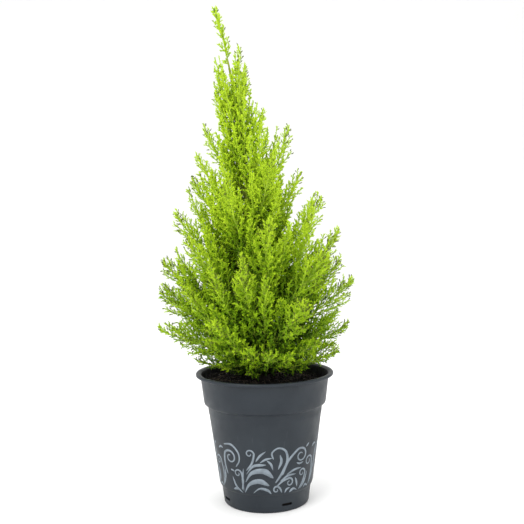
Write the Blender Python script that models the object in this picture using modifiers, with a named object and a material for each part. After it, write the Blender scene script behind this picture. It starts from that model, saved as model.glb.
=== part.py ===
"""A young Monterey cypress with a feathery pointed crown, growing in its plastic nursery pot.

Run it with blender --background --python part.py, or from Blender's text editor. Lengths are in
metres, +Z is up, -Y is the front, and the origin is the middle of the pot's flat underside.
"""

import math
import random
from dataclasses import dataclass

import bmesh
import bpy
import numpy as np
from mathutils import Matrix, Vector, noise

# Touching solids keep this much air between them, and corners this close together are one.
GAP = 0.0003
WELD = 0.000001

# The pot: a thin turned wall that widens in three steps, foot, body and collar, up to a lip.
POT_HEIGHT = 0.130
POT_WALL = 0.0013
POT_SIDES = 40
FOOT_RADIUS = 0.0428
FOOT_HEIGHT = 0.0172
FOOT_STEP = 0.0016
BODY_FOOT_RADIUS = 0.0468
BODY_TOP_RADIUS = 0.0583
COLLAR_FOOT = 0.0980
COLLAR_FOOT_RADIUS = 0.0619
COLLAR_TOP_RADIUS = 0.0652
LIP_RADIUS = 0.0700
LIP_DEPTH = 0.0030
CORNER = 0.0010
DRAIN_SLOTS = 4
DRAIN_BEARING = math.radians(27)
DRAIN_SIZE = (0.0110, 0.0090, 0.0026)
DRAIN_HEIGHT = 0.0074

# The compost: it fills the pot, lies a little higher on the left, and is lumpy on top.
SOIL_LEVEL = 0.1210
SOIL_TILT = -0.035
SOIL_LUMP = 0.0016
SOIL_LUMP_SPAN = 0.011
SOIL_RINGS = (0.058, 0.048, 0.037, 0.026, 0.016)
SOIL_SEAT_RADIUS = 0.0105

# The trunk: it leans left, and its top bends over further.
TREE_TOP = 0.5010
TRUNK_TOP = 0.4400
TRUNK_FOOT_RADIUS = 0.0040
TRUNK_TOP_RADIUS = 0.0012
FLARE = 0.0030
FLARE_FADE = 0.0050
LEAN = -0.0280
TIP_LEAN = -0.0170
SWAY = 0.0022
TRUNK_SIDES = 12

# The crown: how far the plumes reach from the trunk at each height, how steeply they rise there, as
# an angle from the vertical, and where the outline seen from the front has its tips.
CROWN_REACH = (
    (0.137, 0.052), (0.153, 0.074), (0.175, 0.095), (0.205, 0.099), (0.240, 0.097), (0.262, 0.090),
    (0.285, 0.081), (0.305, 0.074), (0.325, 0.061), (0.350, 0.053), (0.382, 0.044), (0.400, 0.028),
    (0.420, 0.019), (0.450, 0.014), (0.501, 0.006),
)
PLUME_SLANT = (
    (0.140, 72.0), (0.178, 65.0), (0.215, 55.0), (0.255, 47.0), (0.300, 40.0), (0.350, 33.0),
    (0.385, 28.0), (0.415, 21.0), (0.460, 17.0),
)
OUTLINE_TIPS = (
    (-0.068, 0.143), (0.073, 0.153), (-0.091, 0.169), (0.088, 0.172), (-0.102, 0.177),
    (-0.105, 0.211), (0.090, 0.222), (-0.106, 0.242), (0.080, 0.242), (0.076, 0.272),
    (-0.087, 0.292), (0.062, 0.308), (-0.071, 0.327), (0.040, 0.332), (-0.064, 0.349),
    (0.030, 0.381), (-0.059, 0.384), (0.003, 0.396), (-0.046, 0.415), (-0.014, 0.442),
    (-0.020, 0.457),
)
OUTLINE_DEPTH = 0.6
LOWEST_ROOT = 0.1270
ROOT_STEP = 0.0024
LOWEST_TIP = 0.146
HIGHEST_TIP = 0.458
PLUMES = 40
TOP_FAVOUR = 0.030
BOUGHS = 15
SEED = 12
LEADER_WIDTH = 0.013
GOLDEN_ANGLE = math.pi * (3 - math.sqrt(5))
FIRST_BEARING = math.radians(138)
REACH_SPREAD = 0.07
OUTWARD_FIRST = 0.56
RISE_FIRST = 0.38

# A plume's own space: a spindle round its middle line, this wide at its fattest.
SPACE_SHARE = 0.21
SPACE_BASE = 0.0065
SPACE_MARGIN = 0.04
LIMB_CLEARANCE = 0.0006
FOLIAGE_FLOOR = 0.1275
LIP_CLEARANCE = 0.0040

# A plume's middle line has this many straight legs. The first is the bough where there is one, and
# the last is the blade at the plume's tip.
LEGS = 5
BOUGH_LEGS = 1
BOUGH_ROOT_RADIUS = 0.0019
BOUGH_TIP_RADIUS = 0.0011
STEM_ROOT_RADIUS = 0.0013
STEM_TIP_RADIUS = 0.0008
STEM_SHARE_OF_TRUNK = 0.7

# Twigs end in toothed blades, and toothed sprays stand along the stem. Each stands for many shoots.
TWIGS_ON_BOUGH = 2
TWIG_RADIUS = 0.0006
TWIG_LIFT = 0.25
TWIG_ANGLE = math.radians(43)
TWIG_LENGTH = 0.55
BLADE_LENGTH = 1.75
MORE_TEETH_FROM = (0.016, 0.030)
BLADE_SLIMNESS = 0.50
BLADE_WIDTH = 0.0220
BLADE_ROOT = 0.00045
BLADE_THICKNESS = 0.0013
BLADE_RIBS = (0.12, 0.45)
BLADE_TWIST = 0.6
NOTCH_SHARE = 0.12
NOTCH_RISE = 0.45
BLADE_SPACING = 0.0085
BLADE_SPOTS = (0.4, 0.7, 1.0)
ROOT_SINK = 0.0003
SHORTENINGS = (1.0, 0.8, 0.6, 0.45, 0.3)
SPRAY_ANGLE = math.radians(42)
SPRAY_SLOPE = math.radians(45)
SPRAY_LENGTH = 1.5
LONGEST_SPRAY = 0.036
SPRAY_TEETH = 3
SPRAY_THICKNESS = 0.0008
SPRAY_FOOT = (0.06, 0.92)
SPRAYS_ON_BOUGH = 3
SPRAYS_ON_TRUNK = 2


def between(table, height):
    """The value that a table of (height, value) pairs gives at a height."""
    heights, values = zip(*table)
    return float(np.interp(height, heights, values))


def clear_scene():
    """Removes every object, the startup ones included."""
    for obj in list(bpy.data.objects):
        bpy.data.objects.remove(obj)


def collection(name):
    """A new collection in the scene."""
    made = bpy.data.collections.new(name)
    bpy.context.scene.collection.children.link(made)
    return made


def material(name, colour, roughness):
    """A Principled material of one colour."""
    made = bpy.data.materials.new(name)
    made.use_nodes = True
    shader = made.node_tree.nodes["Principled BSDF"]
    shader.inputs["Base Color"].default_value = (*colour, 1.0)
    shader.inputs["Roughness"].default_value = roughness
    shader.inputs["Metallic"].default_value = 0.0
    return made


def placed(name, mesh, home, finish=None):
    """An object with this mesh, in a collection, in one finish."""
    made = bpy.data.objects.new(name, mesh)
    home.objects.link(made)
    if finish:
        mesh.materials.clear()
        mesh.materials.append(finish)
    return made


def evaluated_mesh(obj, name, weld=0.0):
    """A new mesh of the object as its modifiers or its bevel make it, welded if asked."""
    bpy.context.view_layer.update()
    graph = bpy.context.evaluated_depsgraph_get()
    mesh = bpy.data.meshes.new_from_object(obj.evaluated_get(graph))
    mesh.name = name
    if weld:
        shape = bmesh.new()
        shape.from_mesh(mesh)
        bmesh.ops.remove_doubles(shape, verts=shape.verts, dist=weld)
        shape.to_mesh(mesh)
        shape.free()
    return mesh


def turned(name, profile, home):
    """A profile of (radius, height) points, turned round the Z axis."""
    mesh = bpy.data.meshes.new(name)
    points = [(radius, 0.0, height) for radius, height in profile]
    mesh.from_pydata(points, [(i, i + 1) for i in range(len(points) - 1)], [])
    made = placed(name, mesh, home)
    screw = made.modifiers.new("turn", "SCREW")
    screw.steps = POT_SIDES
    screw.render_steps = POT_SIDES
    screw.use_merge_vertices = True
    screw.merge_threshold = 0.00005
    return made


def pot_outside():
    """The pot's outer profile, from the lip's inner edge down to the middle of the underside."""
    lip_foot = POT_HEIGHT - LIP_DEPTH
    slope = (BODY_TOP_RADIUS - BODY_FOOT_RADIUS) / (COLLAR_FOOT - FOOT_HEIGHT)
    return [
        (COLLAR_TOP_RADIUS + CORNER, POT_HEIGHT),
        (LIP_RADIUS - CORNER, POT_HEIGHT),
        (LIP_RADIUS, POT_HEIGHT - CORNER),
        (LIP_RADIUS - CORNER / 2, lip_foot),
        (COLLAR_TOP_RADIUS, lip_foot - CORNER / 2),
        (COLLAR_FOOT_RADIUS, COLLAR_FOOT + 2 * CORNER),
        (COLLAR_FOOT_RADIUS - CORNER, COLLAR_FOOT),
        (BODY_TOP_RADIUS, COLLAR_FOOT - CORNER),
        (BODY_FOOT_RADIUS, FOOT_HEIGHT + 2 * CORNER),
        (BODY_FOOT_RADIUS - FOOT_STEP, FOOT_HEIGHT),
        (FOOT_RADIUS + slope * CORNER, CORNER),
        (FOOT_RADIUS - CORNER, 0.0),
        (0.0, 0.0),
    ]


def pot_inside():
    """The pot's inner profile, from the middle of the floor up to just inside the lip."""
    return [
        (0.0, POT_WALL),
        (FOOT_RADIUS - POT_WALL, POT_WALL),
        (BODY_FOOT_RADIUS - FOOT_STEP - POT_WALL, FOOT_HEIGHT),
        (BODY_FOOT_RADIUS - POT_WALL, FOOT_HEIGHT + 3 * CORNER),
        (BODY_TOP_RADIUS - POT_WALL, COLLAR_FOOT),
        (COLLAR_FOOT_RADIUS - POT_WALL, COLLAR_FOOT + 3 * CORNER),
        (COLLAR_TOP_RADIUS - POT_WALL, POT_HEIGHT - LIP_DEPTH),
    ]


def drain_cutter(index, home):
    """A box that cuts one drain slot through the foot's wall."""
    bearing = DRAIN_BEARING + index * math.tau / DRAIN_SLOTS
    shape = bmesh.new()
    bmesh.ops.create_cube(shape, size=1.0, matrix=Matrix.Diagonal((*DRAIN_SIZE, 1.0)))
    mesh = bpy.data.meshes.new(f"drain_cutter_{index}")
    shape.to_mesh(mesh)
    shape.free()
    made = placed(mesh.name, mesh, home)
    made.location = (
        FOOT_RADIUS * math.sin(bearing),
        -FOOT_RADIUS * math.cos(bearing),
        DRAIN_HEIGHT,
    )
    made.rotation_euler = (0.0, 0.0, bearing)
    made.hide_render = True
    made.display_type = "WIRE"
    return made


def make_pot(home, cutters, finish):
    """The pot, open at the top, with its drain slots cut."""
    pot = turned("pot", pot_inside() + pot_outside(), home)
    pot.data.materials.append(finish)
    for index in range(DRAIN_SLOTS):
        cut = pot.modifiers.new(f"drain_{index}", "BOOLEAN")
        cut.operation = "DIFFERENCE"
        cut.object = drain_cutter(index, cutters)
    return pot


def soil_height(x, y):
    """Height of the compost's top at a place: flat where the trunk stands, and lumpy elsewhere."""
    away = math.hypot(x, y) - SOIL_SEAT_RADIUS
    if away <= 0:
        return SOIL_LEVEL
    fade = min(1.0, away / SOIL_SEAT_RADIUS)
    lump = SOIL_LUMP * noise.noise(Vector((x, y, 0.0)) / SOIL_LUMP_SPAN)
    return SOIL_LEVEL + fade * (SOIL_TILT * x + lump)


def make_soil(home, finish):
    """The compost, a hair clear of the pot all round."""
    wall = [(radius - GAP, height) for radius, height in pot_inside()[1:-1]]
    wall[0] = (wall[0][0], POT_WALL + GAP)
    top_share = (SOIL_LEVEL - wall[-1][1]) / (POT_HEIGHT - LIP_DEPTH - wall[-1][1])
    edge = wall[-1][0] + top_share * (COLLAR_TOP_RADIUS - COLLAR_FOOT_RADIUS)
    rings = [(radius, SOIL_LEVEL) for radius in (*SOIL_RINGS, SOIL_SEAT_RADIUS, 0.0)]
    profile = [(0.0, SOIL_LEVEL), *reversed(rings[:-1]), (edge, SOIL_LEVEL)]
    profile += [*reversed(wall), (0.0, POT_WALL + GAP)]
    blank = turned("soil_blank", profile, home)
    mesh = evaluated_mesh(blank, "soil")
    bpy.data.objects.remove(blank)
    for corner in mesh.vertices:
        x, y, z = corner.co
        if z > SOIL_LEVEL - GAP and math.hypot(x, y) < edge - GAP:
            corner.co.z = soil_height(x, y)
    return placed("soil", mesh, home, finish)


def trunk_middle(height):
    """The middle of the trunk, or of the leader above it, at a height."""
    rise = max(0.0, height - SOIL_LEVEL) / (TREE_TOP - SOIL_LEVEL)
    bend = SWAY * math.sin(2.6 * math.pi * rise) * rise
    return Vector((LEAN * rise + TIP_LEAN * rise**5, bend, height))


def trunk_radius(height):
    """The trunk's radius at a height, with the flare at its foot."""
    above = max(0.0, height - SOIL_LEVEL)
    share = min(1.0, above / (TRUNK_TOP - SOIL_LEVEL))
    taper = TRUNK_FOOT_RADIUS + (TRUNK_TOP_RADIUS - TRUNK_FOOT_RADIUS) * share**0.8
    return taper + FLARE * math.exp(-above / FLARE_FADE)


def limb_curve(name, points, radii, sides, home):
    """A tapering limb along a line of points: a bevelled curve with filled ends."""
    curve = bpy.data.curves.new(name, "CURVE")
    curve.dimensions = "3D"
    curve.use_fill_caps = True
    curve.bevel_depth = 1.0
    curve.bevel_resolution = sides // 2 - 2
    line = curve.splines.new("POLY")
    line.points.add(len(points) - 1)
    for spot, point, radius in zip(line.points, points, radii):
        spot.co = (*point, 1.0)
        spot.radius = radius
    return placed(name, curve, home)


def limb_solid(name, points, radii, sides, home):
    """The same limb as a closed mesh, which can be cut or joined."""
    curve = limb_curve(name, points, radii, sides, home)
    mesh = evaluated_mesh(curve, name, WELD)
    bpy.data.objects.remove(curve)
    return placed(name, mesh, home)


def trunk_line(foot, fatter):
    """Points and radii of the trunk, the lowest two in line so that its foot is cut level."""
    steps = [foot, foot + 0.003, foot + 0.008, foot + 0.016]
    steps += list(np.linspace(foot + 0.035, TRUNK_TOP, 12))
    points = [trunk_middle(height) for height in steps]
    points[1] = Vector((points[0].x, points[0].y, points[1].z))
    return points, [trunk_radius(height) + fatter for height in steps]


@dataclass
class Plume:
    """One feathery shoot of the crown: its middle line, and how wide its own space is along it."""

    name: str
    line: np.ndarray
    widths: np.ndarray
    on_bough: bool

    def at(self, share):
        """The point at a share of the way along the middle line."""
        return Vector([float(np.interp(share * LEGS, range(LEGS + 1), axis)) for axis in self.line.T])

    def way(self, share):
        """The direction of growth there."""
        return (self.at(min(1.0, share + 0.04)) - self.at(max(0.0, share - 0.04))).normalized()

    def width(self, share):
        """The width of the plume's space there."""
        return float(np.interp(share * LEGS, range(LEGS + 1), self.widths))


def tip_height(share):
    """The height below which this share of the plumes have their tips, by the crown's girth."""
    heights = np.linspace(LOWEST_TIP, HIGHEST_TIP, 200)
    girth = np.cumsum([between(CROWN_REACH, height) + TOP_FAVOUR for height in heights])
    return float(np.interp(share * girth[-1], girth, heights))


def bent_line(root, tip):
    """A line that leaves the trunk flatter and ends steeper."""
    elbow = root + (tip - root) * OUTWARD_FIRST
    elbow.z = root.z + (tip.z - root.z) * RISE_FIRST
    shares = np.linspace(0, 1, LEGS + 1)[:, None]
    ends = (1 - shares) ** 2 * np.array(root) + shares**2 * np.array(tip)
    return ends + 2 * shares * (1 - shares) * np.array(elbow)


def spindle(widest):
    """Widths along a plume: narrow at its root, widest before the middle and slim at its tip."""
    shares = np.linspace(0, 1, LEGS + 1)
    return widest * np.interp(shares, (0.0, 0.4, 0.7, 1.0), (0.35, 1.0, 0.85, 0.28))


def plume_tips():
    """The plumes' tips from the lowest up, set round the trunk by the golden angle."""
    chance = random.Random(SEED)
    tips = []
    for index in range(PLUMES):
        height = tip_height((index + 0.5) / PLUMES)
        bearing = FIRST_BEARING + index * GOLDEN_ANGLE
        reach = between(CROWN_REACH, height) * (1 + REACH_SPREAD * chance.uniform(-1, 0.6))
        side = Vector((math.cos(bearing), math.sin(bearing), 0.0))
        tips.append(trunk_middle(height) + reach * side)
    # The outline seen from the front is a known one, so the nearest tips move onto it.
    spare = list(tips)
    for x, z in OUTLINE_TIPS:
        nearest = min(spare, key=lambda tip: (tip - Vector((x, 0.0, z))).length)
        spare = [tip for tip in spare if tip is not nearest]
        nearest.x, nearest.y, nearest.z = x, nearest.y * OUTLINE_DEPTH, z
    return sorted(tips, key=lambda tip: tip.z)


def make_plumes():
    """Every plume from the lowest up, and then the leader."""
    plumes = []
    for index, tip in enumerate(plume_tips()):
        reach = (tip - trunk_middle(tip.z)).length
        rise = reach / math.tan(math.radians(between(PLUME_SLANT, tip.z)))
        root = trunk_middle(max(tip.z - rise, LOWEST_ROOT + index * ROOT_STEP))
        widths = spindle(SPACE_BASE + SPACE_SHARE * reach)
        plumes.append(Plume(f"{index + 1:02d}", bent_line(root, tip), widths, index < BOUGHS))
    heights = np.linspace(TRUNK_TOP, TREE_TOP, LEGS + 1)
    line = np.array([trunk_middle(height) for height in heights])
    plumes.append(Plume("leader", line, spindle(LEADER_WIDTH), False))
    return plumes


class Crown:
    """The plumes, and the rule that keeps each in its own space and clear of the limbs."""

    def __init__(self, plumes):
        self.plumes = plumes
        shares = np.linspace(0, 1, 3 * LEGS + 1)
        self.lines = np.array([[plume.at(share) for share in shares] for plume in plumes])
        self.widths = np.array([[plume.width(share) for share in shares] for plume in plumes])
        self.boughs = np.concatenate(
            [self.lines[i, : 3 * BOUGH_LEGS + 1] for i, plume in enumerate(plumes) if plume.on_bough]
        )

    def crowding(self, points):
        """Each point's distance to each plume's line, as a share of that plume's width there."""
        offsets = np.linalg.norm(points[:, None, None, :] - self.lines[None], axis=3)
        return (offsets / self.widths[None]).min(axis=2)

    def clear_of_limbs(self, point):
        """Whether a point is outside the trunk, the boughs, the compost and the pot's lip."""
        if point[2] < TRUNK_TOP + LIMB_CLEARANCE:
            middle = np.array(trunk_middle(point[2]))
            if np.linalg.norm(point - middle) < trunk_radius(point[2]) + 2 * LIMB_CLEARANCE:
                return False
        away = math.hypot(point[0], point[1])
        over_lip = COLLAR_TOP_RADIUS - LIP_CLEARANCE < away < LIP_RADIUS + LIP_CLEARANCE
        if point[2] < (POT_HEIGHT + LIP_CLEARANCE if over_lip else FOLIAGE_FLOOR):
            return False
        apart = np.linalg.norm(self.boughs - point, axis=1).min()
        return apart > BOUGH_ROOT_RADIUS + 2 * LIMB_CLEARANCE

    def fits(self, points, own):
        """Whether points lie in one plume's own space and clear of the limbs."""
        points = np.array(points)
        shares = self.crowding(points)
        rivals = np.delete(shares, own, axis=1).min(axis=1)
        mine = shares[:, own]
        if (mine > 1).any() or (mine + SPACE_MARGIN > rivals).any():
            return False
        return all(self.clear_of_limbs(point) for point in points)


def turned_from(way, angle, bearing):
    """A direction at an angle to another one, at a bearing round it."""
    side = way.orthogonal().normalized()
    side = Matrix.Rotation(bearing, 3, way) @ side
    return (way * math.cos(angle) + side * math.sin(angle)).normalized()


def blade_edge(length, width):
    """One edge of a toothed blade, as (along, aside) points from its root towards its tip."""
    teeth = 1 + sum(length > bound for bound in MORE_TEETH_FROM)
    pitch = (0.72 if teeth > 1 else 0.42) / teeth
    edge = [(0.0, BLADE_ROOT)]
    for tooth in range(teeth):
        notch = 0.05 + pitch * (tooth + 1)
        fullness = 0.5 - 0.12 * abs(tooth + 0.25 - (teeth - 1) / 2)
        edge.append((length * (notch + 0.04), width * fullness))
        edge.append((length * notch, width * NOTCH_SHARE))
    return edge


def blade_points(root, way, facing, length):
    """A blade's corners in space: its flat rim, then the two points of the rib proud of it."""
    width = min(BLADE_WIDTH, length * BLADE_SLIMNESS)
    aside = way.cross(facing).normalized()
    proud = aside.cross(way).normalized() * BLADE_THICKNESS
    edge = blade_edge(length, width)
    left = [root + way * along + aside * out for along, out in edge]
    right = [root + way * along - aside * out for along, out in reversed(edge)]
    ribs = [root + way * length * share + proud for share in BLADE_RIBS]
    return [*left, root + way * length, *right], ribs


def blade_mesh(name, root, way, facing, length):
    """A toothed blade, flat below, thickest along its rib and sharp round its rim."""
    rim, ribs = blade_points(root, way, facing, length)
    shape = bmesh.new()
    rim = [shape.verts.new(point) for point in rim]
    near, far = (shape.verts.new(point) for point in ribs)
    # The outer rib point spans the rim from one side's first notch round the tip to the other's.
    count = len(rim)
    first = 2
    last = count - 1 - first
    for spot in range(count):
        rib = far if first <= spot < last else near
        shape.faces.new([rib, rim[spot], rim[(spot + 1) % count]])
    shape.faces.new([near, rim[first], far])
    shape.faces.new([far, rim[last], near])
    underside = shape.faces.new(rim[::-1])
    underside.normal_update()
    bmesh.ops.triangulate(shape, faces=[underside])
    mesh = bpy.data.meshes.new(name)
    shape.to_mesh(mesh)
    shape.free()
    return mesh


def spray_corners(start, end, side, lengths):
    """A spray's tooth tips and the notches between them, along one leg of a stem."""
    way = (end - start).normalized()
    pitch = (end - start).length / len(lengths)
    lean = way * math.cos(SPRAY_ANGLE) + side * math.sin(SPRAY_ANGLE)
    start = start + side * ROOT_SINK
    feet = [start + way * pitch * (tooth + 0.5) for tooth in range(len(lengths))]
    tips = [foot + lean * length for foot, length in zip(feet, lengths)]
    notch = side * min(NOTCH_SHARE * 2 * min(lengths), NOTCH_RISE * pitch)
    notches = [start + way * pitch * (tooth + 1.15) + notch for tooth in range(len(lengths) - 1)]
    return feet, tips, notches


def spray_mesh(name, start, end, side, lengths):
    """A flat spray that stands on a leg of a stem, thick at its foot and toothed at its edge."""
    _, tips, notches = spray_corners(start, end, side, lengths)
    half = (end - start).cross(side).normalized() * SPRAY_THICKNESS / 2
    start, end = start + side * ROOT_SINK, end + side * ROOT_SINK
    shape = bmesh.new()
    tips = [shape.verts.new(point) for point in tips]
    over = [shape.verts.new(point + half) for point in (start, *notches, end)]
    under = [shape.verts.new(point - half) for point in (start, *notches, end)]
    faces = [[over[0], under[0], under[-1], over[-1]]]
    for inner, turn in ((over, 1), (under, -1)):
        faces += [[inner[0], inner[i + 1], inner[i]][::turn] for i in range(1, len(tips))]
        faces += [[inner[i], inner[i + 1], tip][::turn] for i, tip in enumerate(tips)]
    for i, tip in enumerate(tips):
        faces.append([tip, under[i], over[i]])
        faces.append([tip, over[i + 1], under[i + 1]])
    for face in faces:
        shape.faces.new(face)
    mesh = bpy.data.meshes.new(name)
    shape.to_mesh(mesh)
    shape.free()
    return mesh


def twig_mesh(name, root, way, length, radius):
    """A straight three-sided twig."""
    turn = way.to_track_quat("Z", "X").to_matrix().to_4x4()
    shape = bmesh.new()
    bmesh.ops.create_cone(
        shape,
        cap_ends=True,
        segments=3,
        radius1=radius,
        radius2=radius * 0.8,
        depth=length,
        matrix=Matrix.Translation(root + way * length / 2) @ turn,
    )
    mesh = bpy.data.meshes.new(name)
    shape.to_mesh(mesh)
    shape.free()
    return mesh


class Grower:
    """Grows one plume's mass: a stem, toothed sprays along it, and twigs that end in blades."""

    def __init__(self, crown, index, home):
        self.crown = crown
        self.index = index
        self.plume = crown.plumes[index]
        self.chance = random.Random(SEED + index)
        self.home = home
        self.pieces = []
        self.taken = []

    def outward(self, point):
        """The direction that faces out of the crown at a point."""
        away = point - trunk_middle(point.z)
        away.z = abs(away.z) + 0.3 * away.length
        return away.normalized() if away.length else Vector((0, -1, 0))

    def add_blade(self, root, way, length):
        """Adds the longest blade that keeps to the plume's space, and tells whether one did."""
        facing = self.outward(root)
        facing = Matrix.Rotation(self.chance.uniform(-BLADE_TWIST, BLADE_TWIST), 3, way) @ facing
        for shorter in SHORTENINGS:
            rim, ribs = blade_points(root, way, facing, length * shorter)
            spots = [root + way * length * shorter * share for share in BLADE_SPOTS]
            if self.is_taken(spots) or not self.crown.fits([*rim[1:-1], *ribs], self.index):
                continue
            mesh = blade_mesh("blade", root - way * ROOT_SINK, way, facing, length * shorter)
            self.pieces.append(placed("blade", mesh, self.home))
            self.taken += spots
            return True
        return False

    def add_spray(self, leg, side, length):
        """Adds a spray along one leg of the stem, each tooth as long as the plume's space lets it."""
        start, end = self.plume.at(leg / LEGS), self.plume.at((leg + 1) / LEGS)
        lengths = []
        feet, tips, _ = spray_corners(start, end, side, [length] * SPRAY_TEETH)
        for foot, tip in zip(feet, tips):
            for shorter in SHORTENINGS:
                tooth = [foot.lerp(tip, shorter / 2), foot.lerp(tip, shorter)]
                if self.crown.fits(tooth, self.index):
                    lengths.append(length * shorter)
                    break
        if len(lengths) == len(feet):
            foot, head = start.lerp(end, SPRAY_FOOT[0]), start.lerp(end, SPRAY_FOOT[1])
            mesh = spray_mesh("spray", foot, head, side, lengths)
            self.pieces.append(placed("spray", mesh, self.home))

    def is_taken(self, spots):
        """Whether any of these spots is close to a blade already there."""
        return any((spot - other).length < BLADE_SPACING for spot in spots for other in self.taken)

    def add_twig(self, share, bearing, length):
        """Adds a twig with a blade at its end, where both fit, and tells whether they did."""
        root = self.plume.at(share)
        way = turned_from(self.plume.way(share), TWIG_ANGLE, bearing)
        way = (way + Vector((0, 0, TWIG_LIFT))).normalized()
        end = root + way * length
        if not self.crown.fits([end, (root + end) / 2], self.index):
            return False
        if not self.add_blade(end - way * ROOT_SINK, way, length * BLADE_LENGTH):
            return False
        mesh = twig_mesh("twig", root, way, length, TWIG_RADIUS)
        self.pieces.append(placed("twig", mesh, self.home))
        return True

    def add_stem(self, start):
        """Adds the mass's own stem, from its root to the foot of the blade at its tip."""
        shares = [start, *(leg / LEGS for leg in range(1, LEGS) if leg / LEGS > start + 0.01)]
        thickest = STEM_ROOT_RADIUS
        if not self.plume.on_bough:
            thickest = min(thickest, STEM_SHARE_OF_TRUNK * trunk_radius(self.plume.at(0).z))
        slimmest = min(thickest, STEM_TIP_RADIUS)
        points = [self.plume.at(share) for share in shares]
        radii = np.linspace(thickest, slimmest, len(points))
        self.pieces.append(limb_solid("stem", points, radii, 4, self.home))

    def grow(self, start, twigs):
        """Grows the whole mass from a share of the plume's line outwards."""
        self.add_stem(start)
        tip = self.plume.at(1.0)
        root = self.plume.at(1 - 1 / LEGS)
        way = (tip - root).normalized()
        foot = root - way * ROOT_SINK
        mesh = blade_mesh("blade", foot, way, self.outward(tip), (tip - root).length)
        self.pieces.append(placed("blade", mesh, self.home))
        self.taken += [root + (tip - root) * share for share in BLADE_SPOTS]
        around = SPRAYS_ON_BOUGH if self.plume.on_bough else SPRAYS_ON_TRUNK
        for leg in range(math.ceil(start * LEGS - 0.1), LEGS - 1):
            way = self.plume.way((leg + 0.5) / LEGS)
            length = min(LONGEST_SPRAY, self.plume.width((leg + 0.5) / LEGS) * SPRAY_LENGTH)
            level = way.cross(Vector((0, 0, 1))).normalized()
            for turn in range(around):
                bearing = SPRAY_SLOPE + (turn + leg / 2 % 1) * math.tau / around
                self.add_spray(leg, Matrix.Rotation(bearing, 3, way) @ level, length)
        bearing = self.chance.uniform(0, math.tau)
        grown = 0
        for step in range(4 * twigs):
            share = start + (0.84 - start) * (0.15 + 0.8 * (step % twigs + 0.5) / twigs)
            bearing += GOLDEN_ANGLE
            if grown < twigs:
                grown += self.add_twig(share, bearing, self.plume.width(share) * TWIG_LENGTH)
        return self.pieces


def joined(name, pieces, home, finish, clearance=None):
    """One solid from overlapping pieces, cut clear of the trunk if asked, with its large faces first."""
    base = pieces[0]
    workshop = collection("workshop")
    for piece in pieces[1:]:
        home.objects.unlink(piece)
        workshop.objects.link(piece)
    union = base.modifiers.new("join", "BOOLEAN")
    union.operation = "UNION"
    union.operand_type = "COLLECTION"
    union.collection = workshop
    union.solver = "MANIFOLD"
    if clearance:
        cut_clear(base, clearance)
    mesh = evaluated_mesh(base, name)
    shape = bmesh.new()
    shape.from_mesh(mesh)
    shape.faces.sort(key=lambda face: -face.calc_area())
    shape.to_mesh(mesh)
    shape.free()
    for piece in pieces:
        bpy.data.objects.remove(piece)
    bpy.data.collections.remove(workshop)
    return placed(name, mesh, home, finish)


def cut_clear(obj, clearance):
    """Cuts a hair's breadth of air between an object and the trunk it grows from."""
    cut = obj.modifiers.new("trunk_gap", "BOOLEAN")
    cut.operation = "DIFFERENCE"
    cut.object = clearance
    cut.solver = "MANIFOLD"


def main():
    clear_scene()
    home = collection("potted_cypress")
    cutters = collection("cutters")
    plastic = material("slate_plastic", (0.060, 0.068, 0.080), 0.45)
    compost = material("peat", (0.020, 0.014, 0.010), 0.95)
    bark = material("young_bark", (0.110, 0.060, 0.032), 0.85)
    needles = material("lime_needles", (0.250, 0.420, 0.030), 0.60)

    make_pot(home, cutters, plastic)
    make_soil(home, compost)
    points, radii = trunk_line(SOIL_LEVEL + GAP, 0.0)
    trunk = limb_solid("trunk", points, radii, TRUNK_SIDES, home)
    trunk.data.materials.append(bark)
    points, radii = trunk_line(SOIL_LEVEL - 0.001, GAP)
    points[-1] = points[-1] + Vector((0, 0, GAP))
    clearance = limb_solid("trunk_clearance", points, radii, TRUNK_SIDES, cutters)
    clearance.hide_render = True
    clearance.display_type = "WIRE"

    crown = Crown(make_plumes())
    for index, plume in enumerate(crown.plumes):
        start = 0.0
        if plume.on_bough:
            legs = range(BOUGH_LEGS + 1)
            points = [plume.at(leg / LEGS) for leg in legs]
            radii = np.linspace(BOUGH_ROOT_RADIUS, BOUGH_TIP_RADIUS, len(points))
            bough = limb_solid(f"bough_{plume.name}", points, radii, 6, home)
            bough.data.materials.append(bark)
            cut_clear(bough, clearance)
            leg = (plume.at((BOUGH_LEGS + 1) / LEGS) - points[-1]).length
            start = (BOUGH_LEGS + GAP / leg) / LEGS
        elif plume.name == "leader":
            start = GAP / (plume.at(1 / LEGS) - plume.at(0.0)).length / LEGS
        pieces = Grower(crown, index, home).grow(start, TWIGS_ON_BOUGH if plume.on_bough else 0)
        on_trunk = not plume.on_bough and plume.name != "leader"
        joined(f"foliage_{plume.name}", pieces, home, needles, clearance if on_trunk else None)


main()
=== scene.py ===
import logging
import math
import random
from dataclasses import dataclass, field
from enum import Enum

import bpy
import numpy as np
from mathutils import Matrix, Vector, noise

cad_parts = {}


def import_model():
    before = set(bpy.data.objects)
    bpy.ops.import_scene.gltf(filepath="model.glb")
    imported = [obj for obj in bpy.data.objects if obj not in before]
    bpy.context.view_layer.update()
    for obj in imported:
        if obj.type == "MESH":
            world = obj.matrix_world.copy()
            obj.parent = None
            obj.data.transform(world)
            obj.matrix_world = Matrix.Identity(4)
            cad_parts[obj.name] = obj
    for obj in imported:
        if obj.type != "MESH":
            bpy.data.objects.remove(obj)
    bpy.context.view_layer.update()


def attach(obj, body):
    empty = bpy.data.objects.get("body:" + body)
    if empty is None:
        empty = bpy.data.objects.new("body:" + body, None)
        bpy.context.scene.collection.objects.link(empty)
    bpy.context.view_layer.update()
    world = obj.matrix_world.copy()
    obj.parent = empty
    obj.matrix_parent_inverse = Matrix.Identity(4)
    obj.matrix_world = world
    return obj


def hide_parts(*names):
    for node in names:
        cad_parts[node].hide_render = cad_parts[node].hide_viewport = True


LOG = logging.getLogger("potted_cypress")
MM = 0.001
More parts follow.
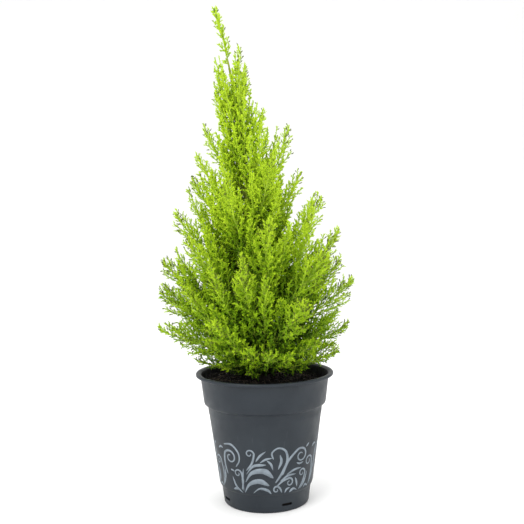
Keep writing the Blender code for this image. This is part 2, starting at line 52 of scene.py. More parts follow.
GAP = 0.3 * MM
WELD = 2e-6
HAIR = 1e-6
TINY = 1e-12
STEEP = 0.9
SOFT_ANGLE = 60.0
UP = np.array([0.0, 0.0, 1.0])
ACROSS = np.array([1.0, 0.0, 0.0])
GOLDEN_ANGLE = math.pi * (3 - math.sqrt(5))
BLACK = (0.0, 0.0, 0.0)
Span = tuple[float, float]
Triple = tuple[float, float, float]
Colour = tuple[float, float, float]
Profile = list[tuple[float, float]]
Table = tuple[tuple[float, float], ...]
Socket = bpy.types.NodeSocket


# Tools for meshes and operators


def deselect_all() -> None:
    """Leaves nothing selected, so that an operator acts on new things alone."""
    if bpy.context.object and bpy.context.object.mode != "OBJECT":
        bpy.ops.object.mode_set(mode="OBJECT")
    bpy.ops.object.select_all(action="DESELECT")


def make_active(piece: bpy.types.Object) -> None:
    """Selects one object alone and makes it active."""
    deselect_all()
    piece.select_set(True)
    bpy.context.view_layer.objects.active = piece


def settle(piece: bpy.types.Object) -> None:
    """Puts the object at the origin, with its place in its mesh."""
    make_active(piece)
    bpy.ops.object.transform_apply(location=True, rotation=True, scale=True)


def apply_modifiers(piece: bpy.types.Object) -> None:
    """Applies every modifier of a piece in order."""
    make_active(piece)
    for modifier in list(piece.modifiers):
        bpy.ops.object.modifier_apply(modifier=modifier.name)


def smooth(piece: bpy.types.Object, degrees: float) -> None:
    """Shades a piece smooth, apart from edges sharper than this."""
    make_active(piece)
    bpy.ops.object.shade_smooth_by_angle(angle=math.radians(degrees))


def close_and_face_out(piece: bpy.types.Object) -> None:
    """Merges doubles in a piece and turns its faces outwards."""
    make_active(piece)
    bpy.ops.object.mode_set(mode="EDIT")
    bpy.ops.mesh.select_all(action="SELECT")
    bpy.ops.mesh.remove_doubles(threshold=WELD)
    bpy.ops.mesh.normals_make_consistent(inside=False)
    bpy.ops.object.mode_set(mode="OBJECT")


def turned(name: str, profile: Profile, steps: int) -> bpy.types.Object:
    """Draws a profile from a single vertex and spins it round the Z axis.

    Args:
        name: the piece's name.
        profile: (radius, height) points, from the axis back to the axis.
        steps: how many steps the full turn has.

    Returns:
        The closed piece, facing out.
    """
    deselect_all()
    bpy.ops.mesh.primitive_plane_add(size=MM)
    piece = bpy.context.object
    piece.name = piece.data.name = name
    bpy.ops.object.mode_set(mode="EDIT")
    bpy.ops.mesh.select_all(action="SELECT")
    bpy.ops.mesh.merge(type="CENTER")
    bpy.ops.transform.translate(value=(profile[0][0], 0.0, profile[0][1]))
    for before, after in zip(profile, profile[1:]):
        step = (after[0] - before[0], 0.0, after[1] - before[1])
        bpy.ops.mesh.extrude_region_move(TRANSFORM_OT_translate={"value": step})
    bpy.ops.mesh.select_all(action="SELECT")
    bpy.ops.mesh.spin(steps=steps, angle=math.tau, center=(0, 0, 0), axis=(0, 0, 1))
    bpy.ops.object.mode_set(mode="OBJECT")
    close_and_face_out(piece)
    return piece


def mesh_piece(name: str, points: np.ndarray, *face_sets: np.ndarray) -> bpy.types.Object:
    """Makes one joined mesh from arrays.

    Args:
        name: the piece's name.
        points: every corner's place, one row each.
        face_sets: arrays of corner numbers, a row for each face, each array with its own width.

    Returns:
        The new object, linked to the scene.
    """
    mesh = bpy.data.meshes.new(name)
    corners = np.concatenate([faces.reshape(-1) for faces in face_sets])
    widths = np.concatenate([np.full(len(faces), faces.shape[1]) for faces in face_sets])
    starts = np.concatenate([[0], np.cumsum(widths)[:-1]])
    mesh.vertices.add(len(points))
    mesh.vertices.foreach_set("co", points.astype(np.float32).ravel())
    mesh.loops.add(len(corners))
    mesh.loops.foreach_set("vertex_index", corners.astype(np.int32))
    mesh.polygons.add(len(widths))
    mesh.polygons.foreach_set("loop_start", starts.astype(np.int32))
    mesh.update(calc_edges=True)
    piece = bpy.data.objects.new(name, mesh)
    bpy.context.scene.collection.objects.link(piece)
    return piece


def unit(vectors: np.ndarray) -> np.ndarray:
    """Each vector at length one."""
    return vectors / np.maximum(np.linalg.norm(vectors, axis=-1, keepdims=True), TINY)


def sides_of(ways: np.ndarray, near: np.ndarray | None = None) -> tuple[np.ndarray, np.ndarray]:
    """Two directions square to each direction of growth.

    Args:
        ways: unit directions, in the last axis.
        near: a direction for the first side to lie close to.

    Returns:
        The two side directions, each shaped as the ways are.
    """
    if near is None:
        near = np.where(np.abs(ways[..., 2:3]) < STEEP, UP, ACROSS)
    first = unit(near - ways * (near * ways).sum(-1, keepdims=True))
    return first, np.cross(ways, first)


def tubes(lines: np.ndarray, radii: np.ndarray, sides: int) -> tuple[np.ndarray, ...]:
    """Tapering tubes along many lines at once, closed at both ends.

    Args:
        lines: places of each line's points, shaped (lines, points, 3).
        radii: each point's radius, shaped (lines, points), or (lines, points, sides) for relief.
        sides: how many sides a tube has.

    Returns:
        The corners, the side faces and the two sets of end faces, as mesh_piece takes them.
    """
    count, length = lines.shape[:2]
    if radii.ndim == 2:
        radii = np.repeat(radii[..., None], sides, axis=2)
    ways = unit(np.gradient(lines, axis=1))
    overall = unit(lines[:, -1] - lines[:, 0])
    near, _ = sides_of(overall)
    first, second = sides_of(ways, np.broadcast_to(near[:, None], ways.shape))
    turn = np.arange(sides) * math.tau / sides
    ring = first[:, :, None] * np.cos(turn)[:, None] + second[:, :, None] * np.sin(turn)[:, None]
    points = lines[:, :, None] + ring * radii[..., None]
    number = np.arange(count * length * sides).reshape(count, length, sides)
    after = np.roll(number, -1, axis=2)
    walls = np.stack([number[:, :-1], after[:, :-1], after[:, 1:], number[:, 1:]], axis=-1)
    return points.reshape(-1, 3), walls.reshape(-1, 4), number[:, 0, ::-1], number[:, -1]


def curved(starts: np.ndarray, middles: np.ndarray, ends: np.ndarray, count: int) -> np.ndarray:
    """Points along quadratic curves, shaped (lines, count, 3)."""
    share = np.linspace(0, 1, count)[:, None]
    starts, middles, ends = starts[:, None], middles[:, None], ends[:, None]
    return (1 - share) ** 2 * starts + 2 * share * (1 - share) * middles + share**2 * ends


def along(lines: np.ndarray, owner: np.ndarray, shares: np.ndarray) -> tuple[np.ndarray, np.ndarray]:
    """Places and directions at shares of the way along lines.

    Args:
        lines: shaped (lines, points, 3).
        owner: which line each place is on.
        shares: how far along it is, from 0 to 1.

    Returns:
        The places and the unit directions there.
    """
    last = lines.shape[1] - 1
    spot = np.clip(shares * last, 0, last - HAIR)
    low = spot.astype(int)
    before, after = lines[owner, low], lines[owner, low + 1]
    return before + (after - before) * (spot - low)[:, None], unit(after - before)


def tilted(ways: np.ndarray, angles: np.ndarray, bearings: np.ndarray) -> np.ndarray:
    """Directions at an angle to other ones, at a bearing round them."""
    first, second = sides_of(ways)
    side = first * np.cos(bearings)[:, None] + second * np.sin(bearings)[:, None]
    return unit(ways * np.cos(angles)[:, None] + side * np.sin(angles)[:, None])


# Finishes


def dimmed(colour: Colour, share: float) -> Colour:
    """A colour at a share of its strength."""
    return tuple(part * share for part in colour)


class Recipe:
    """A material's node tree, with short ways to add and join its nodes."""

    NOISE_SPAN: Span = (0.3, 0.7)

    def __init__(self, name: str, roughness: float, gloss: float = 0.5) -> None:
        """Starts from a plain shader of this roughness and strength of reflection."""
        self.material = bpy.data.materials.new(name)
        self.material.use_nodes = True
        self.nodes = self.material.node_tree.nodes
        self.links = self.material.node_tree.links
        self.shader = self.nodes["Principled BSDF"]
        self.shader.inputs["Roughness"].default_value = roughness
        self.shader.inputs["Specular IOR Level"].default_value = gloss
        self.place = self.nodes.new("ShaderNodeTexCoord").outputs["Object"]

    def stretched(self, scale: Triple) -> Socket:
        """The place on the piece, scaled by axis."""
        node = self.nodes.new("ShaderNodeMapping")
        node.inputs["Scale"].default_value = scale
        self.links.new(self.place, node.inputs["Vector"])
        return node.outputs["Vector"]

    def noise(self, scale: float, detail: float = 4.0, place: Socket | None = None) -> Socket:
        """A cloudy pattern, in cells per metre."""
        node = self.nodes.new("ShaderNodeTexNoise")
        node.inputs["Scale"].default_value = scale
        node.inputs["Detail"].default_value = detail
        self.links.new(place or self.place, node.inputs["Vector"])
        return node.outputs["Fac"]

    def ramp(self, value: Socket, stops: list[tuple[float, Colour]]) -> Socket:
        """Colours dealt out along a value."""
        node = self.nodes.new("ShaderNodeValToRGB")
        node.color_ramp.elements[0].position = stops[0][0]
        node.color_ramp.elements[1].position = stops[-1][0]
        for position, _ in stops[1:-1]:
            node.color_ramp.elements.new(position)
        for element, (_, colour) in zip(node.color_ramp.elements, stops):
            element.color = (*colour, 1.0)
        self.links.new(value, node.inputs["Fac"])
        return node.outputs["Color"]

    def mapped(self, value: Socket, source: Span, target: Span = (0.0, 1.0)) -> Socket:
        """A value's range spread over another one."""
        node = self.nodes.new("ShaderNodeMapRange")
        for name, number in zip(("From Min", "From Max", "To Min", "To Max"), (*source, *target)):
            node.inputs[name].default_value = number
        self.links.new(value, node.inputs["Value"])
        return node.outputs["Result"]

    def between(self, value: Socket, low: float, high: float) -> Socket:
        """The range in which most of a noise lies, spread from low to high."""
        return self.mapped(value, self.NOISE_SPAN, (low, high))

    def height(self, low: float, high: float) -> Socket:
        """A share that rises from 0 to 1 between two heights."""
        parts = self.nodes.new("ShaderNodeSeparateXYZ")
        self.links.new(self.place, parts.inputs["Vector"])
        return self.mapped(parts.outputs["Z"], (low, high))

    def feed(self, socket: Socket, source: Socket | Colour) -> None:
        """Sets a colour socket, to a plain colour or from a node."""
        if isinstance(source, tuple):
            socket.default_value = (*source, 1.0)
        else:
            self.links.new(source, socket)

    def mixed(self, share: Socket, first: Socket | Colour, second: Socket | Colour) -> Socket:
        """One colour turned into another by a share."""
        node = self.nodes.new("ShaderNodeMix")
        node.data_type = "RGBA"
        self.links.new(share, node.inputs["Factor"])
        self.feed(node.inputs[6], first)
        self.feed(node.inputs[7], second)
        return node.outputs[2]

    def colour(self, source: Socket | Colour) -> None:
        """Sets the base colour, plain or from a node."""
        self.feed(self.shader.inputs["Base Color"], source)

    def roughness(self, source: Socket) -> None:
        """Sets the roughness from a node."""
        self.links.new(source, self.shader.inputs["Roughness"])

    def relief(self, height: Socket, depth: float) -> None:
        """Raises a fine relief this deep, in metres, over any that is there."""
        node = self.nodes.new("ShaderNodeBump")
        node.inputs["Distance"].default_value = depth
        self.links.new(height, node.inputs["Height"])
        normal = self.shader.inputs["Normal"]
        if normal.is_linked:
            self.links.new(normal.links[0].from_socket, node.inputs["Normal"])
        self.links.new(node.outputs["Normal"], normal)


@dataclass(frozen=True)
class MouldedPlastic:
    """Matt slate plastic with a fine moulded grain, soft clouding, and pale vertical streaks that are
    partly rubbed marks and partly painted sheen.
    """

    base: Colour = (0.0146, 0.0196, 0.0258)
    pale: Colour = (0.0208, 0.0272, 0.0345)
    rubbed_and_sheen: Colour = (0.060, 0.068, 0.077)
    rub_and_sheen_share: float = 0.30
    cloud_scale: float = 28.0
    streak_scale: Triple = (380.0, 380.0, 34.0)
    sheen_scale: float = 90.0
    grain_scale: float = 2600.0
    grain_depth: float = 0.00003
    wave_scale: float = 70.0
    wave_depth: float = 0.00012

    def material(self) -> bpy.types.Material:
        """The finish as a material."""
        recipe = Recipe("moulded_slate_plastic", 0.48, 0.27)
        clouds = recipe.ramp(recipe.noise(self.cloud_scale), [(0.38, self.base), (0.66, self.pale)])
        # Pale vertical streaks: partly rubbed marks, partly a painted sheen.
        streaks = recipe.noise(1.0, 6.0, recipe.stretched(self.streak_scale))
        marks = recipe.ramp(streaks, [(0.66, BLACK), (0.80, (self.rub_and_sheen_share,) * 3)])
        recipe.colour(recipe.mixed(marks, clouds, self.rubbed_and_sheen))
        recipe.roughness(recipe.between(recipe.noise(self.sheen_scale, 5.0), 0.40, 0.54))
        recipe.relief(recipe.noise(self.grain_scale, 2.0), self.grain_depth)
        recipe.relief(recipe.noise(self.wave_scale, 2.0), self.wave_depth)
        return recipe.material


@dataclass(frozen=True)
class InnerShadePlastic:
    """The pot's inner wall, darkened all over with painted shade in dark patches."""

    inner_shade: Colour = (0.0045, 0.0040, 0.0036)
    bare: Colour = (0.0130, 0.0150, 0.0170)
    inner_shade_scale: float = 160.0
    sheen_scale: float = 300.0
    crust_scale: float = 900.0
    crust_depth: float = 0.0002

    def material(self) -> bpy.types.Material:
        """The finish as a material."""
        recipe = Recipe("painted_shade_plastic", 0.8, 0.2)
        # Both tones are painted shade, darker than the plastic outside.
        patches = recipe.noise(self.inner_shade_scale, 6.0)
        recipe.colour(recipe.ramp(patches, [(0.40, self.inner_shade), (0.64, self.bare)]))
        recipe.roughness(recipe.between(recipe.noise(self.sheen_scale, 3.0), 0.66, 0.94))
        recipe.relief(recipe.noise(self.crust_scale, 4.0), self.crust_depth)
        return recipe.material


@dataclass(frozen=True)
class PrintedInk:
    """Pale grey-blue ink, a little uneven, with pinholes where the plastic shows."""

    ink: Colour = (0.200, 0.240, 0.278)
    thin: Colour = (0.150, 0.182, 0.212)
    bare: Colour = (0.050, 0.060, 0.072)
    bare_share: float = 0.8
    cover_scale: float = 160.0
    hole_scale: float = 1500.0
    sheen_scale: float = 420.0

    def material(self) -> bpy.types.Material:
        """The finish as a material."""
        recipe = Recipe("printed_ink", 0.55)
        cover = recipe.ramp(recipe.noise(self.cover_scale, 3.0), [(0.36, self.thin), (0.58, self.ink)])
        holes = recipe.ramp(recipe.noise(self.hole_scale, 2.0),
                            [(0.68, BLACK), (0.76, (self.bare_share,) * 3)])
        recipe.colour(recipe.mixed(holes, cover, self.bare))
        recipe.roughness(recipe.between(recipe.noise(self.sheen_scale, 3.0), 0.48, 0.64))
        return recipe.material


@dataclass(frozen=True)
class Peat:
    """Dark damp compost."""

    wet: Colour = (0.0018, 0.0014, 0.0011)
    dry: Colour = (0.0070, 0.0050, 0.0036)
    clod_scale: float = 420.0
    sheen_scale: float = 200.0
    crumb_scale: float = 1100.0
    crumb_depth: float = 0.0006

    def material(self, name: str, lighter: float = 1.0) -> bpy.types.Material:
        """The finish as a material, lighter or darker than usual."""
        recipe = Recipe(name, 0.92, 0.2)
        recipe.colour(recipe.ramp(recipe.noise(self.clod_scale, 6.0), [
            (0.35, dimmed(self.wet, lighter)), (0.68, dimmed(self.dry, lighter))]))
        recipe.roughness(recipe.between(recipe.noise(self.sheen_scale, 3.0), 0.80, 0.97))
        recipe.relief(recipe.noise(self.crumb_scale, 6.0), self.crumb_depth)
        return recipe.material


@dataclass(frozen=True)
class Bark:
    """Reddish young bark in stringy strips, darkened at the trunk's foot with painted shade, and green
    still higher up.
    """

    furrow: Colour = (0.022, 0.013, 0.006)
    strip: Colour = (0.056, 0.035, 0.017)
    grey: Colour = (0.078, 0.062, 0.038)
    young: Colour = (0.290, 0.360, 0.030)
    dull_share: float = 0.5
    foot_shade: Colour = (0.0110, 0.0078, 0.0055)
    foot_shade_from: float = 0.126
    foot_shade_to: float = 0.146
    green_from: float = 0.210
    green_at: float = 0.330
    strip_scale: Triple = (1500.0, 1500.0, 210.0)
    strip_depth: float = 0.0003
    sheen_scale: float = 700.0

    def material(self) -> bpy.types.Material:
        """The finish as a material."""
        recipe = Recipe("stringy_bark", 0.86, 0.3)
        strips = recipe.noise(1.0, 5.0, recipe.stretched(self.strip_scale))
        brown = recipe.ramp(strips, [(0.34, self.furrow), (0.52, self.strip), (0.72, self.grey)])
        green = recipe.ramp(strips, [(0.34, dimmed(self.young, self.dull_share)), (0.60, self.young)])
        # Painted shade: the bark turns near black towards the trunk's foot.
        lower = recipe.mixed(recipe.height(self.foot_shade_from, self.foot_shade_to), self.foot_shade, brown)
        recipe.colour(recipe.mixed(recipe.height(self.green_from, self.green_at), lower, green))
        recipe.roughness(recipe.between(recipe.noise(self.sheen_scale, 3.0), 0.76, 0.94))
        recipe.relief(strips, self.strip_depth)
        return recipe.material


@dataclass(frozen=True)
class Fibre:
    """Pale dry strands in the compost."""

    tone: Colour = (0.085, 0.060, 0.038)
    dark_share: float = 0.45
    patch_scale: float = 300.0
    grain_scale: float = 4000.0
    grain_depth: float = 0.0001

    def material(self) -> bpy.types.Material:
        """The finish as a material."""
        recipe = Recipe("peat_fibre", 0.85)
        patches = recipe.noise(self.patch_scale, 4.0)
        dark = dimmed(self.tone, self.dark_share)
        recipe.colour(recipe.ramp(patches, [(0.36, dark), (0.62, self.tone)]))
        recipe.relief(recipe.noise(self.grain_scale, 3.0), self.grain_depth)
        return recipe.material


class Tint(Enum):
    """The plain colours that the shoots are dealt, from the crown's inside out, and its buds': partly the
    needles' own colour, partly painted shade deep in and low down and painted light high up.
    """

    DEEP = (0.040, 0.098, 0.003)
    SHADED = (0.112, 0.232, 0.004)
    LEAF = (0.245, 0.430, 0.006)
    LIME = (0.395, 0.600, 0.012)
    BRIGHT = (0.540, 0.750, 0.026)
    # Olive for the buds: a painted shade on the crown's outermost tips.
    OLIVE = (0.150, 0.200, 0.022)

    def material(self) -> bpy.types.Material:
        """The tint as a waxy finish, plain but for its sheen."""
        recipe = Recipe(f"needles_{self.name.lower()}", 0.6, 0.18)
        recipe.colour(self.value)
        recipe.roughness(recipe.between(recipe.noise(900.0, 2.0), 0.52, 0.68))
        return recipe.material


BUD_SHADE_TINT = list(Tint).index(Tint.OLIVE)


@dataclass(frozen=True)
class GreenStem:
    """The young stems that the needles stand on."""

    young: Colour = (0.470, 0.640, 0.060)
    older: Colour = (0.300, 0.430, 0.035)
    patch_scale: float = 120.0
    sheen_scale: float = 800.0

    def material(self) -> bpy.types.Material:
        """The finish as a material."""
        recipe = Recipe("green_stem", 0.6, 0.3)
        patches = recipe.noise(self.patch_scale, 3.0)
        recipe.colour(recipe.ramp(patches, [(0.35, self.older), (0.60, self.young)]))
        recipe.roughness(recipe.between(recipe.noise(self.sheen_scale, 2.0), 0.50, 0.72))
        return recipe.material


# The pot


@dataclass
class Pot:
    """The thin tapered nursery pot with its foot, body, collar and rolled lip."""
    # buds: the share of the outermost shoots that end in a bud, tinted olive as painted shade.

    height: float = 0.130
    wall: float = 0.0013
    foot_radius: float = 0.0428
    foot_height: float = 0.0172
    foot_step: float = 0.0016
    body_foot_radius: float = 0.0468
    body_top_radius: float = 0.0583
    collar_foot: float = 0.0980
    collar_foot_radius: float = 0.0619
    collar_top_radius: float = 0.0652
    lip_radius: float = 0.0700
    lip_depth: float = 0.0030
    steps: int = 168
    slots: int = 4
    slot_bearing: float = math.radians(27)
    slot_size: Triple = (0.0110, 0.0090, 0.0026)
    slot_round: float = 0.9 * MM
    slot_height: float = 0.0074
    rib_height: float = 0.0895
    rib_rise: float = 0.00022
    longest_face: float = 9 * MM
    crease: float = 32.0
    # Where the painted shade inside the pot stops: a little below the lip's crest, and away from the
    # middle of the floor.
    inner_shade_below_crest: float = 1.2 * MM
    inner_shade_from: float = 0.05

    def wall_radius(self, height: float) -> float:
        """The outer radius of the body's straight wall at a height."""
        share = (height - self.foot_height) / (self.collar_foot - self.foot_height)
        return self.body_foot_radius + (self.body_top_radius - self.body_foot_radius) * share

    def outside(self) -> Profile:
        """The outer profile from the axis under the pot up to the crest of the lip."""
        foot_top = self.body_foot_radius - self.foot_step
        lip_foot = self.height - self.lip_depth
        rib = self.rib_height
        return [
            (0.0, 0.0),
            (self.foot_radius - 1.4 * MM, 0.0),
            (self.foot_radius - 0.5 * MM, 0.2 * MM),
            (self.foot_radius, 0.8 * MM),
            (self.foot_radius + 0.25 * MM, 1.8 * MM),
            (foot_top, self.foot_height - 0.2 * MM),
            (foot_top + 0.35 * MM, self.foot_height + 0.6 * MM),
            (self.body_foot_radius - 0.45 * MM, self.foot_height + 1.3 * MM),
            (self.body_foot_radius - 0.05 * MM, self.foot_height + 2.1 * MM),
            (self.wall_radius(self.foot_height + 4 * MM), self.foot_height + 4 * MM),
            (self.wall_radius(rib - 1.0 * MM), rib - 1.0 * MM),
            (self.wall_radius(rib) + self.rib_rise, rib),
            (self.wall_radius(rib + 2.4 * MM) + self.rib_rise, rib + 2.4 * MM),
            (self.body_top_radius - 0.15 * MM, self.collar_foot - 1.2 * MM),
            (self.body_top_radius + 0.25 * MM, self.collar_foot - 0.2 * MM),
            (self.body_top_radius + 1.2 * MM, self.collar_foot + 0.35 * MM),
            (self.collar_foot_radius - 1.2 * MM, self.collar_foot + 0.9 * MM),
            (self.collar_foot_radius - 0.35 * MM, self.collar_foot + 1.7 * MM),
            (self.collar_foot_radius + 0.1 * MM, self.collar_foot + 3.0 * MM),
            (self.collar_top_radius - 0.05 * MM, lip_foot - 1.6 * MM),
            (self.collar_top_radius + 0.35 * MM, lip_foot - 0.5 * MM),
            (self.collar_top_radius + 1.1 * MM, lip_foot - 0.05 * MM),
            (self.lip_radius - 0.9 * MM, lip_foot + 0.05 * MM),
            (self.lip_radius - 0.2 * MM, lip_foot + 0.45 * MM),
            (self.lip_radius, lip_foot + 1.3 * MM),
            (self.lip_radius - 0.1 * MM, self.height - 0.9 * MM),
            (self.lip_radius - 0.55 * MM, self.height - 0.2 * MM),
            (self.lip_radius - 1.3 * MM, self.height),
        ]

    def inside(self) -> Profile:
        """The inner profile from the lip's crest down to the axis on the floor."""
        wall = self.wall
        return [
            (self.collar_top_radius + 1.6 * MM, self.height - 0.05 * MM),
            (self.collar_top_radius + 0.6 * MM, self.height - 0.5 * MM),
            (self.collar_top_radius - 0.5 * MM, self.height - 1.6 * MM),
            (self.collar_top_radius - wall, self.height - self.lip_depth),
            (self.collar_foot_radius - wall, self.collar_foot + 3.0 * MM),
            (self.collar_foot_radius - wall - 0.8 * MM, self.collar_foot + 1.3 * MM),
            (self.body_top_radius - wall, self.collar_foot),
            (self.body_foot_radius - wall, self.foot_height + 3.0 * MM),
            (self.body_foot_radius - self.foot_step - wall, self.foot_height),
            (self.foot_radius - wall, wall + 0.6 * MM),
            (self.foot_radius - wall - 0.7 * MM, wall),
            (0.0, wall),
        ]

    def rounded(self, profile: Profile) -> Profile:
        """The profile with points added on its long straights, which keeps the spun faces short."""
        fine = [profile[0]]
        for before, after in zip(profile, profile[1:]):
            pieces = max(1, round(math.dist(before, after) / self.longest_face))
            fine += [
                tuple(a + (b - a) * part / pieces for a, b in zip(before, after))
                for part in range(1, pieces + 1)
            ]
        return fine

    def drain_cutter(self, index: int) -> bpy.types.Object:
        """A box with rounded ends that cuts one drain slot."""
        bearing = self.slot_bearing + index * math.tau / self.slots
        place = (self.foot_radius * math.sin(bearing), -self.foot_radius * math.cos(bearing),
                 self.slot_height)
        deselect_all()
        bpy.ops.mesh.primitive_cube_add(size=1.0, location=place, rotation=(0, 0, bearing))
        cutter = bpy.context.object
        cutter.scale = self.slot_size
        settle(cutter)
        bevel = cutter.modifiers.new("round", "BEVEL")
        bevel.width = self.slot_round
        bevel.segments = 3
        apply_modifiers(cutter)
        return cutter

    def build(self) -> bpy.types.Object:
        """Spins the pot, cuts its slots and dresses it."""
        pot = turned("pot_shell", self.rounded(self.outside() + self.inside()), self.steps)
        for index in range(self.slots):
            cutter = self.drain_cutter(index)
            cut = pot.modifiers.new(f"slot_{index}", "BOOLEAN")
            cut.object = cutter
            cut.solver = "EXACT"
            apply_modifiers(pot)
            bpy.data.objects.remove(cutter)
        smooth(pot, self.crease)
        pot.data.materials.clear()
        pot.data.materials.append(MouldedPlastic().material())
        pot.data.materials.append(InnerShadePlastic().material())
        # Inward faces below the lip's crest take the darker inner finish: painted shade inside the pot.
        for side in pot.data.polygons:
            middle = side.center
            inward = side.normal.x * middle.x + side.normal.y * middle.y < 0
            low_enough = middle.z < self.height - self.inner_shade_below_crest
            if inward and low_enough and middle.length > self.inner_shade_from:
                side.material_index = 1
        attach(pot, "root")
        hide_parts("pot")
        return pot


class Stroke(Enum):
    """How the width of a printed stroke runs from its start to its end."""

    CURL = (0.55, 1.0, 0.85, 0.6, 0.5)
    LEAF = (0.10, 0.45, 0.85, 1.0, 0.30)
    BLADE = (0.25, 0.8, 1.0, 0.75, 0.20)
    DASH = (0.35, 0.9, 1.0, 0.8, 0.35)


